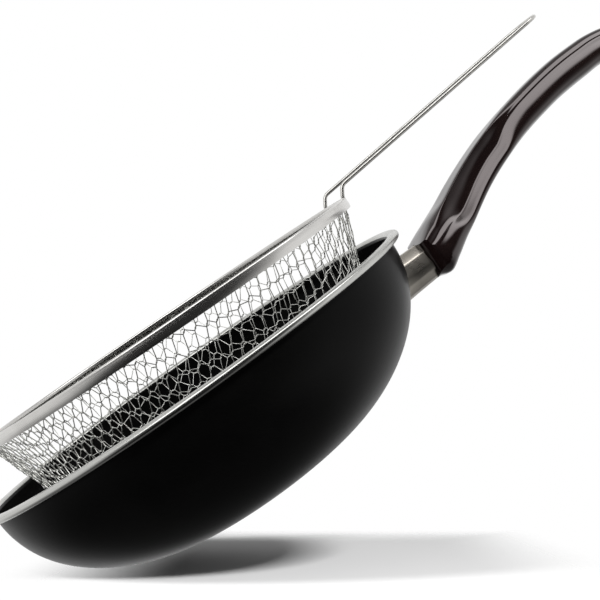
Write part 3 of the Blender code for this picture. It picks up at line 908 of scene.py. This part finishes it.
        return smooth_table(rows, 6) * np.array([0.001] * 5 + [1.0])

    @staticmethod
    def grip_section(form: float) -> list[tuple[float, float]]:
        """Return half a section of the grip, from the middle of its top to the middle of its foot.

        Args:
            form: Which form the section has, as grip_stations tells.

        Returns:
            The points as shares of the half width and half height.
        """
        nose = ((0.50, 1.00), (0.80, 0.96), (0.87, 0.88), (0.89, 0.78), (0.89, 0.66), (0.90, 0.58),
                (0.93, 0.52), (0.93, 0.47), (1.00, 0.20), (1.03, -0.04), (0.98, -0.28), (0.77, -0.64),
                (0.44, -0.92))
        collar = ((0.36, 0.96), (0.55, 0.87), (0.66, 0.75), (0.71, 0.61), (0.72, 0.50), (0.74, 0.42),
                  (0.85, 0.25), (0.85, 0.18), (0.97, -0.06), (1.03, -0.28), (1.02, -0.48),
                  (0.84, -0.80), (0.48, -0.97))
        deep = ((0.46, 1.00), (0.62, 0.96), (0.63, 0.86), (0.60, 0.60), (0.56, 0.35), (0.55, 0.15),
                (0.58, -0.10), (0.66, -0.22), (0.78, -0.38), (0.90, -0.54), (0.96, -0.66),
                (0.88, -0.85), (0.52, -0.97))
        waist = ((0.42, 1.00), (0.56, 0.96), (0.57, 0.88), (0.54, 0.68), (0.50, 0.48), (0.50, 0.32),
                 (0.55, 0.04), (0.65, -0.11), (0.78, -0.30), (0.91, -0.48), (0.97, -0.61),
                 (0.89, -0.82), (0.50, -0.97))
        palm = ((0.24, 0.98), (0.37, 0.92), (0.46, 0.84), (0.52, 0.76), (0.56, 0.68), (0.60, 0.61),
                (0.62, 0.55), (0.64, 0.49), (0.82, 0.20), (0.95, -0.08), (1.00, -0.34), (0.89, -0.70),
                (0.49, -0.95))
        top, foot = (0.00, 1.00), (0.00, -1.00)
        forms = [(top, *side, foot) for side in (nose, collar, deep, waist, palm)]
        first = min(int(form), len(forms) - 2)
        share = form - first
        mixed = [(a * (1 - share) + c * share, b * (1 - share) + d * share)
                 for (a, b), (c, d) in zip(forms[first], forms[first + 1])]
        return [tuple(row) for row in smooth_table(mixed, 3)]

    def nose_tool(self) -> bpy.types.Object:
        """Build the block that cuts the grip's front face, flat in the middle, rounded at its sides.

        Returns:
            The block.
        """
        outline = []
        for step in range(41):
            across = self.nose_half * (step / 20 - 1)
            beyond = max(abs(across) - self.nose_flat, 0.0)
            outline.append((self.nose + self.nose_bend * beyond ** 2, across))
        outline += [(self.nose - self.nose_back, side) for side in (self.nose_half, -self.nose_half)]
        heights = (self.level - self.nose_tall, self.level + self.nose_tall)
        return lofted("nose_tool", [[Vector((*place, height)) for place in outline]
                                    for height in heights])

    def hang_hole_tool(self) -> bpy.types.Object:
        """Build the waisted plug that cuts the hanging hole through the grip's tail.

        Returns:
            The plug.
        """
        stations = self.grip_stations()
        hang_x = self.start + self.grip_length - self.hole_from_end
        index = int(np.argmin(np.abs(stations[:, 0] + stations[:, 2] - 2 * hang_x)))
        top, foot = float(stations[index][1]), float(stations[index][3])
        middle, half = (top + foot) / 2, (top - foot) / 2
        shares = [2 * step / 12 - 1 for step in range(13)]
        flared = [(self.hole_radius + self.hole_flare * abs(share) ** 4,
                   middle + share * half * self.plug_length) for share in shares]
        outline = [(0.0, flared[0][1])] + flared + [(0.0, flared[-1][1])]
        return spun("hang_hole_tool", outline, 40, hang_x)

    def build_grip(self) -> bpy.types.Object:
        """Loft the moulded grip with its side hollows, front face, rounded tail and holes.

        Returns:
            The grip.
        """
        rings = []
        for top_x, top_z, foot_x, foot_z, half_width, form in self.grip_stations():
            top, foot = Vector((top_x, 0.0, top_z)), Vector((foot_x, 0.0, foot_z))
            right = [top.lerp(foot, (1 - upward) / 2) + Vector((0.0, half_width * across, 0.0))
                     for across, upward in self.grip_section(min(max(form, 0.0), 4.0))]
            left = [Vector((point.x, -point.y, point.z)) for point in right[-2:0:-1]]
            rings.append(right + left)
        centre = sum(rings[-1], Vector()) / len(rings[-1])
        tail = [[point.lerp(centre, share) + Vector((reach, 0, -reach / 3)) for point in rings[-1]]
                for share, reach in self.tail]
        grip = lofted("moulded_grip", rings + tail)
        carve(grip, self.nose_tool())
        socket = self.build_ferrule()
        raised = Matrix.Translation((0.0, 0.0, self.level))
        socket.data.transform(raised @ Matrix.Diagonal((1.0, self.socket_ease, self.socket_ease, 1.0))
                              @ raised.inverted())
        carve(grip, socket)
        carve(grip, self.hang_hole_tool())
        below, radius = self.level - self.head_height, self.screw_head_radius + GAP
        well = [(0.0, below), (radius, below), (radius, self.seat + GAP), (0.0, self.seat + GAP)]
        carve(grip, spun("screw_well_tool", well, 40, self.screw_x))
        return smooth(grip, 38.0)

    def build_screw(self) -> bpy.types.Object:
        """Turn the slotted screw whose head lies in the well under the grip's head.

        Returns:
            The screw.
        """
        face = self.seat - self.screw_head_height
        tip = self.level + self.bar_height / 2 - GAP
        head, shank = self.screw_head_radius, self.shank_radius
        outline = [(0.0, face)]
        outline += [(head + across, face + upward) for across, upward in self.screw_edge]
        outline += [(head, self.seat), (shank, self.seat), (shank, tip - self.tip_chamfer),
                    (shank - self.tip_chamfer, tip), (0.0, tip)]
        screw = spun("grip_screw", outline, 48, self.screw_x)
        width, depth = self.slot_size
        carve(screw, box_tool((self.screw_x - 2 * head, -width / 2, face - depth),
                              (self.screw_x + 2 * head, width / 2, face + depth)))
        return smooth(screw, 35.0)


# The basket

@dataclass
class Basket:
    """The lift-out frying basket: folded band, core wire, pressed netting and wire handle.

    flat_facing is the direction in which pressing drew the net's cells flat, and flat_share how
    much. Each of the waves, as size, count, phase and slope, bulges the netting's wall a little.
    """

    shift: float = 0.0045
    radius: float = 0.1225
    top: float = 0.1086
    band_height: float = 0.0060
    band_width: float = 0.0040
    band_round: float = 0.0012
    band_dome: float = 0.0003
    inner_leg: float = 0.0022
    band_sheet: float = 0.0006
    core_radius: float = 0.0011
    net_taper: float = math.radians(19.5)
    net_shoulder: float = 0.40
    net_floor: float = 0.0024
    net_floor_radius: float = 0.0483
    net_top: float = 0.1064
    net_spread: float = 1.8
    cell_width: float = 0.0159
    row_step: float = 0.0063
    bond: float = 0.0037
    net_turn: float = math.radians(-18)
    flat_facing: float = math.radians(-158)
    flat_share: float = 0.40
    waves: tuple[tuple[float, ...], ...] = ((0.0007, 5, 1.0, 0.0), (0.0005, 9, 2.4, 40.0))
    waves_from: float = 0.45
    net_wire: float = 0.00028
    bond_width: float = 1.3
    scatter: float = 0.0006
    lift_scatter: float = 0.0003
    lean_scatter: float = math.radians(5)
    seed: int = 11
    wire_radius: float = 0.0012
    leg_spread: float = 0.0350
    leg_on_band: float = 0.0050
    leg_rise: float = 0.0062
    leg_lean: float = 0.0040
    leg_bend: float = 0.0052
    loop_width: float = 0.0290
    loop_reach: float = 0.1790
    loop_rise: float = 0.0246
    lie: float = math.radians(0.9)

    @property
    def channel(self) -> float:
        """Return the radius of the middle of the band's fold."""
        return self.radius - self.band_width / 2

    def build_band(self) -> bpy.types.Object:
        """Spin the folded band: a slightly domed outer face, a round top and a short inner leg.

        Returns:
            The band.
        """
        outer, inner, sheet = self.radius, self.radius - self.band_width, self.band_sheet
        corner, leg = self.band_round, self.top - self.inner_leg
        low, bend, face = self.top - self.band_height, self.top - corner, outer - self.band_dome
        shares = [step / 8 for step in range(9)]
        outline = [(outer - self.band_dome * (2 * share - 1) ** 2, low + (bend - low) * share)
                   for share in shares]
        outline += arc((outer - corner, bend), (corner - self.band_dome, corner), 0, 90, 6)[1:]
        outline += arc((inner + corner, bend), (corner, corner), 90, 180, 6)
        outline += [(inner, leg), (inner + sheet / 2, leg - sheet / 3), (inner + sheet, leg),
                    (inner + sheet, bend), (inner + corner, self.top - sheet),
                    (outer - corner, self.top - sheet), (face - sheet, bend), (face - sheet, low)]
        return smooth(spun("basket_band", outline + outline[:1], 192, self.shift), 50.0)

    def build_core(self) -> bpy.types.Object:
        """Spin the wire that lies in the band's fold.

        Returns:
            The wire ring.
        """
        centre = (self.channel, self.top - self.band_sheet - GAP - self.core_radius)
        outline = arc(centre, (self.core_radius, self.core_radius), 0, -360, 12)
        return smooth(spun("band_core_wire", outline, 144, self.shift), 60.0)

    def meridian(self) -> tuple[np.ndarray, np.ndarray, np.ndarray]:
        """Work out the outline that the net is pressed to, from its middle to its edge.

        Returns:
            The distance along the outline, the radius and the height of each of its points.
        """
        foot = Vector((self.net_floor_radius, self.net_floor))
        top = Vector((self.channel, self.net_top))
        fall = self.net_top - self.net_floor
        shoulder_fall = fall * (1 - self.net_shoulder)
        shoulder = top - Vector((shoulder_fall * math.tan(self.net_taper), shoulder_fall))
        corner = Vector((top.x - fall * math.tan(self.net_taper), self.net_floor))
        points = [Vector((0.0, self.net_floor))]
        for step in range(61):
            share = step / 60
            points.append(foot.lerp(corner, share).lerp(corner.lerp(shoulder, share), share))
        radii, heights = np.array([(point.x, point.y) for point in points + [top]]).T
        travelled = np.concatenate([[0.0], np.cumsum(np.hypot(np.diff(radii), np.diff(heights)))])
        return travelled, radii, heights

    def scattered_bonds(self, rows: int, columns: int) -> dict[tuple[int, int], Bond]:
        """Lay out the bonds of the flat net, scattered a little, as on a net pressed by hand.

        Args:
            rows: The number of rows on each side of the middle.
            columns: The number of half cells on each side of the middle.

        Returns:
            The place, the direction and the lift of each bond, by its column and row.
        """
        chance = random.Random(self.seed)
        turn = Matrix.Rotation(self.net_turn, 2)
        bonds = {}
        for row, column in product(range(-rows - 1, rows + 2), range(-columns - 1, columns + 2)):
            shift = Vector((chance.gauss(0, self.scatter), chance.gauss(0, self.scatter)))
            centre = turn @ (Vector((column * self.cell_width / 2, row * self.row_step)) + shift)
            lean = self.net_turn + chance.gauss(0, self.lean_scatter)
            lift = chance.gauss(0, self.lift_scatter)
            bonds[(column, row)] = (centre, Vector((math.cos(lean), math.sin(lean))), lift)
        return bonds

    def bond_run(self, bond: Bond, side: int) -> list[tuple[Vector, float]]:
        """Follow one wire's turn round its neighbour in a bond.

        Args:
            bond: The bond's place, direction and lift.
            side: 1 for the wire above the bond, -1 for the one below.

        Returns:
            Flat places and how far they lie off the sheet.
        """
        centre, facing, out = bond
        across = Vector((-facing.y, facing.x))
        run = []
        for share in (0.0, 0.25, 0.5, 0.75, 1.0):
            angle = side * math.pi / 2 + math.tau * share
            place = centre + facing * (share - 0.5) * self.bond
            run.append((place + across * math.sin(angle) * self.net_wire * self.bond_width,
                        math.cos(angle) * self.net_wire + out))
        return run

    def net_routes(self) -> list[list[Vector]]:
        """Work out the routes of the net's wires, pressed to the basket's bowl.

        Each wire zigzags between two rows of bonds and makes one turn round its neighbour in
        each.

        Returns:
            The points that each wire follows.
        """
        travelled, radii, heights = self.meridian()
        reach = float(travelled[-1])

        def drawn_in(flat: Vector) -> float:
            """Return how far along the bowl a point lies, less where the cells were drawn flat."""
            toward = max(math.cos(math.atan2(flat.y, flat.x) - self.flat_facing), 0.0)
            return flat.length * (1 - self.flat_share * toward ** 2 * min(flat.length / reach, 1.0))

        def pressed(flat: Vector) -> Vector:
            """Press a point of the flat net to the bowl.

            Args:
                flat: The point of the flat net.

            Returns:
                The point in space.
            """
            along = min(drawn_in(flat), reach)
            facing = flat.normalized() if flat.length > 1e-9 else Vector((1.0, 0.0))
            radius = float(np.interp(along, travelled, radii))
            height = float(np.interp(along, travelled, heights))
            angle = math.atan2(facing.y, facing.x)
            share = min(max((along / reach - self.waves_from) / (1 - self.waves_from), 0.0), 1.0)
            radius += 4 * share * (1 - share) * sum(
                size * math.sin(count * angle + phase + slope * height)
                for size, count, phase, slope in self.waves)
            return Vector((facing.x * radius + self.shift, facing.y * radius, height))

        rows = int(self.net_spread * reach / self.row_step) + 2
        columns = int(2 * self.net_spread * reach / self.cell_width) + 2
        bonds = self.scattered_bonds(rows, columns)
        routes = []
        for row in range(-rows, rows + 1):
            inside = []
            for column in range(-columns, columns + 1):
                above = (column + row) % 2 == 1
                bond = bonds[(column, row if above else row + 1)]
                for flat, lift in self.bond_run(bond, 1 if above else -1):
                    if drawn_in(flat) < reach:
                        inside.append((flat, lift))
                    elif inside:
                        routes.append(inside)
                        inside = []
        return [[self.lifted(pressed, flat, lift) for flat, lift in route]
                for route in routes if len(route) > 2]

    @staticmethod
    def lifted(pressed: Callable[[Vector], Vector], flat: Vector, lift: float) -> Vector:
        """Return a point of the pressed net, moved off the sheet.

        Args:
            pressed: The function that presses a flat point to the bowl.
            flat: The point of the flat net.
            lift: How far it lies off the sheet, outwards.

        Returns:
            The point in space.
        """
        place = pressed(flat)
        near = 0.0004
        along_x = pressed(flat + Vector((near, 0.0))) - place
        along_y = pressed(flat + Vector((0.0, near))) - place
        return place - along_x.cross(along_y).normalized() * lift

    def build_net(self) -> bpy.types.Object:
        """Draw the net's wires.

        Returns:
            The netting as one piece.
        """
        return smooth(drawn_wire("basket_netting", self.net_routes(), self.net_wire, 1), 80.0)

    def build_handle(self) -> bpy.types.Object:
        """Bend the long wire handle, whose feet stand on the band's outer face.

        Returns:
            The handle.
        """
        half_spread, half_loop = self.leg_spread / 2, self.loop_width / 2
        leg_x = math.sqrt((self.radius + GAP + self.wire_radius) ** 2 - half_spread ** 2)
        loop_x = leg_x + self.loop_reach - half_loop
        legs = []
        for side in (1, -1):
            corners = [(leg_x, side * half_spread, self.top - self.leg_on_band),
                       (leg_x, side * half_spread, self.top),
                       (leg_x + self.leg_lean, side * half_spread, self.top + self.leg_rise),
                       (loop_x, side * half_loop, self.top + self.loop_rise)]
            legs.append(rounded(corners, self.leg_bend, 8)[:-1])
        forward = Vector((loop_x - leg_x - self.leg_lean, 0.0, self.loop_rise - self.leg_rise))
        forward.normalize()
        middle = Vector((loop_x, 0.0, self.top + self.loop_rise))
        loop = [middle + forward * ahead + Vector((0.0, across, 0.0))
                for ahead, across in arc((0.0, 0.0), (half_loop, half_loop), 90, -90, 20)]
        route = [point + Vector((self.shift, 0.0, 0.0)) for point in legs[0] + loop + legs[1][::-1]]
        return smooth(drawn_wire("lifting_loop", [route], self.wire_radius, 5), 60.0)

    def laid(self, piece: bpy.types.Object) -> bpy.types.Object:
        """Turn a finished piece a little, as the loose basket lies in the pan.

        Args:
            piece: The piece, built level.

        Returns:
            The same piece.
        """
        middle = Matrix.Translation((self.shift, 0.0, self.top))
        piece.data.transform(middle @ Matrix.Rotation(self.lie, 4, "Y") @ middle.inverted())
        return piece


# The studio

@dataclass(frozen=True)
class PhotographView:
    """The camera that was fitted to the photograph."""

    place: Triple = (-0.12155534, -0.6893746, 0.122688)
    right: Triple = (0.77729874, -0.26468114, -0.57074561)
    up: Triple = (0.5660899, -0.10157231, 0.81806191)
    forward: Triple = (0.27449751, 0.95897182, -0.07088129)
    focal_pixels: float = 1228.9
    frame_pixels: float = 600.0
    sensor: float = 36.0
    clip_start: float = 0.01

    def build(self) -> None:
        """Add the camera and make it the scene's own."""
        data = bpy.data.cameras.new("photograph_view")
        data.sensor_width = self.sensor
        data.lens = self.focal_pixels * self.sensor / self.frame_pixels
        data.clip_start = self.clip_start
        camera = bpy.data.objects.new("photograph_view", data)
        bpy.context.scene.collection.objects.link(camera)
        turn = Matrix((self.right, self.up, [-value for value in self.forward])).transposed()
        camera.matrix_world = Matrix.Translation(self.place) @ turn.to_4x4()
        bpy.context.scene.camera = camera


@dataclass(frozen=True)
class Softbox:
    """A lamp that lights the floor and that no polished piece mirrors.

    facing is its direction from the pan in the photograph's own right, up and towards the camera.
    """

    name: str
    facing: Triple
    watts: float
    distance: float = 1.4
    side: float = 0.30
    target: Triple = (0.08, 0.0, 0.06)

    def build(self, facing: Vector) -> None:
        """Hang the softbox so that it looks at the pan.

        Args:
            facing: The direction from the pan to the lamp, in the scene's own axes.
        """
        data = bpy.data.lights.new(self.name, "AREA")
        data.shape = "RECTANGLE"
        data.size = data.size_y = self.side
        data.energy = self.watts
        lamp = bpy.data.objects.new(self.name, data)
        bpy.context.scene.collection.objects.link(lamp)
        turn = facing.to_track_quat("Z", "Y").to_matrix().to_4x4()
        lamp.matrix_world = Matrix.Translation(Vector(self.target) + facing * self.distance) @ turn
        lamp.visible_camera = False
        lamp.visible_glossy = False


@dataclass
class Studio:
    """Floor, lamps and world of a plain product photograph.

    What polished pieces mirror is the world's alone: bright sides, a dimmer ceiling and ground,
    dark round the camera, and one bright strip. Each fade is a pair of cosines between which one
    brightness goes over into the next. The strip lies beside a great circle, square to
    strip_square, and is bright towards strip_middle. The floor fades between shares of its radius
    at its edge, and of floor_half at its two sides and its back.
    """

    view: PhotographView
    lamps: tuple[Softbox, ...] = (Softbox("left_floor_softbox", (-0.60, 0.76, 0.46), 9.5),
                                  Softbox("right_floor_softbox", (0.32, 0.80, 0.76), 19.0))
    floor_tip: float = math.radians(-6.8)
    floor_radius: float = 0.75
    floor_shift: float = 0.125
    floor_half: float = 0.17
    floor_drop: float = 0.0002
    floor_white: float = 0.95
    edge_fade: tuple[float, float] = (0.35, 0.95)
    side_fade: tuple[float, float] = (0.45, 1.0)
    back_fade: tuple[float, float] = (1.0, 1.8)
    low_light: float = 0.15
    side_light: float = 1.0
    ceiling_light: float = 0.40
    front_light: float = 0.03
    fill_light: float = 0.22
    strip_light: float = 3.6
    low_fade: tuple[float, float] = (-0.92, -0.42)
    low_rise: float = 0.3
    low_rise_fade: tuple[float, float] = (-0.2, 0.2)
    ceiling_fade: tuple[float, float] = (0.60, 0.95)
    front_fade: tuple[float, float] = (0.12, 0.76)
    front_left: float = 2.2
    front_low: float = 0.12
    front_tall: float = 0.5
    strip_square: Triple = (-0.634, -0.019, -0.773)
    strip_beside: float = 0.23
    strip_fade: tuple[float, float] = (0.09, 0.31)
    strip_middle: Triple = (-0.372, 0.883, 0.283)
    strip_end_fade: tuple[float, float] = (0.50, 0.70)

    def towards(self, right: float, up: float, back: float) -> Vector:
        """Return a direction given in the photograph's own right, up and towards the camera."""
        return (Vector(self.view.right) * right + Vector(self.view.up) * up
                - Vector(self.view.forward) * back).normalized()

    def build_floor(self) -> None:
        """Lay the floor under the pan's lower flank, seen from above only."""
        normal = self.towards(0.0, math.cos(self.floor_tip), math.sin(self.floor_tip))
        across = self.towards(1.0, 0.0, 0.0)
        lowest = min((vertex.co for node in ("pan_body", "rim_ring")
                      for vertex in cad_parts[node].data.vertices), key=normal.dot)
        middle = lowest + across * self.floor_shift
        middle -= normal * (normal.dot(middle) - normal.dot(lowest) + self.floor_drop)
        clear_selection()
        bpy.ops.mesh.primitive_circle_add(vertices=96, radius=self.floor_radius, fill_type="NGON")
        floor = bpy.context.object
        floor.name = "studio_floor"
        turn = Matrix((across, normal.cross(across), normal)).transposed()
        floor.matrix_world = Matrix.Translation(middle) @ turn.to_4x4()
        floor.data.materials.append(self.floor_material())

    def floor_material(self) -> bpy.types.Material:
        """Make the floor's white, which fades out at its edge and is clear from below.

        Returns:
            The material.
        """
        material = bpy.data.materials.new("studio_floor")
        material.use_nodes = True
        bench = NodeBench(material.node_tree)
        bench.tree.nodes.remove(bench.tree.nodes["Principled BSDF"])
        places = bench.add("TexCoord").outputs["Object"]
        length = bench.add("VectorMath", {0: places}, operation="LENGTH").outputs["Value"]
        parts = bench.add("SeparateXYZ", {0: places})
        hidden = bench.maths("MAXIMUM", bench.add("NewGeometry").outputs["Backfacing"],
                             bench.add("LightPath").outputs["Is Glossy Ray"])
        beside = bench.maths("ABSOLUTE", parts.outputs["X"])
        for place, size, (low, high) in ((length, self.floor_radius, self.edge_fade),
                                         (beside, self.floor_half, self.side_fade),
                                         (parts.outputs["Y"], self.floor_half, self.back_fade)):
            faded = bench.ramp(place, size * low, size * high, 0.0, 1.0, True)
            hidden = bench.maths("MAXIMUM", hidden, faded)
        white = bench.add("BsdfDiffuse", {"Color": (*(self.floor_white,) * 3, 1.0)})
        mix = bench.add("MixShader", {0: hidden, 1: white.outputs[0],
                                      2: bench.add("BsdfTransparent").outputs[0]})
        bench.feed(bench.tree.nodes["Material Output"], {"Surface": mix.outputs[0]})
        return material

    @staticmethod
    def facing_share(bench: NodeBench, direction: bpy.types.NodeSocket,
                     facing: Vector) -> bpy.types.NodeSocket:
        """Return the cosine between the looked-at direction and a fixed one."""
        node = bench.add("VectorMath", {0: direction, 1: facing}, operation="DOT_PRODUCT")
        return node.outputs["Value"]

    def build_world(self) -> None:
        """Surround the pan with what metal mirrors, an even fill light and a white backdrop."""
        world = bpy.data.worlds.new("studio_world")
        bpy.context.scene.world = world
        world.use_nodes = True
        bench = NodeBench(world.node_tree)
        direction = bench.add("TexCoord").outputs["Generated"]
        across, upward, backward, square, middle = (
            self.facing_share(bench, direction, self.towards(*axis))
            for axis in ((1.0, 0.0, 0.0), (0.0, 1.0, 0.0), (0.0, 0.0, 1.0), self.strip_square,
                         self.strip_middle))
        tall = bench.maths("MULTIPLY", bench.maths("ADD", upward, self.front_low), self.front_tall)
        wide = bench.maths("MINIMUM", across, bench.maths("MULTIPLY", across, self.front_left))
        gathered = bench.add("CombineXYZ", {0: wide, 1: tall, 2: backward})
        evened = bench.add("VectorMath", {0: gathered.outputs[0]}, operation="NORMALIZE")
        front = self.facing_share(bench, evened.outputs[0], Vector((0.0, 0.0, 1.0)))
        rise = bench.ramp(across, *self.low_rise_fade, 0.0, self.low_rise, True)
        sunken = bench.maths("SUBTRACT", upward, rise)
        sides = bench.ramp(sunken, *self.low_fade, self.low_light, self.side_light, True)
        ceiling = bench.ramp(upward, *self.ceiling_fade, self.side_light, self.ceiling_light, True)
        open_share = bench.ramp(front, *self.front_fade, 1.0, self.front_light, True)
        mirrored = bench.maths("MULTIPLY", bench.maths("MINIMUM", sides, ceiling), open_share)
        beside = bench.maths("ABSOLUTE", bench.maths("ADD", square, self.strip_beside))
        strip = bench.maths("MULTIPLY", bench.ramp(middle, *self.strip_end_fade, 0.0, 1.0, True),
                            bench.ramp(beside, *self.strip_fade, self.strip_light, 0.0, True))
        rays = bench.add("LightPath")
        soft = bench.blend(rays.outputs["Is Glossy Ray"], (self.fill_light,) * 3,
                           bench.maths("ADD", mirrored, strip))
        seen = bench.blend(rays.outputs["Is Camera Ray"], soft, (1.0, 1.0, 1.0))
        bench.feed(bench.tree.nodes["Background"], {"Color": seen})

    def build(self) -> None:
        """Set up the whole studio."""
        self.view.build()
        self.build_floor()
        self.build_world()
        for lamp in self.lamps:
            lamp.build(self.towards(*lamp.facing))
        bpy.context.scene.view_settings.view_transform = "Standard"


def main() -> None:
    """Build the studio, the pan and the basket."""
    logging.basicConfig(level=logging.INFO, format="%(name)s: %(message)s")
    workshop = Workshop(MarkGroups(), {})
    Studio(PhotographView()).build()

    bowl = Bowl()
    shell = bowl.build_shell()
    workshop.dress(shell, ENAMEL, "pan", "pan_body")
    workshop.dress(bowl.build_bead(), BRIGHT_RIM, "pan", "rim_ring")

    handle = Handle(bowl)
    workshop.dress(handle.build_bracket(shell), BRACKET_STEEL, "pan", "handle_bracket")
    workshop.dress(handle.finish_ferrule(handle.build_ferrule()), FERRULE_STEEL, "pan", "ferrule")
    workshop.dress(handle.build_grip(), MOULDING, "pan", "handle_grip")
    workshop.dress(handle.build_screw(), SCREW_STEEL, "pan", "fixing_screw")

    basket = Basket()
    workshop.dress(basket.laid(basket.build_band()), BAND_STEEL, "basket", "basket_rim_band")
    workshop.dress(basket.laid(basket.build_core()), WIRE_STEEL, "basket", "basket_rim_wire")
    workshop.dress(basket.laid(basket.build_net()), NET_STEEL, "basket", "basket_net")
    workshop.dress(basket.laid(basket.build_handle()), WIRE_STEEL, "basket", "basket_handle")


if __name__ == "__main__":
    main()
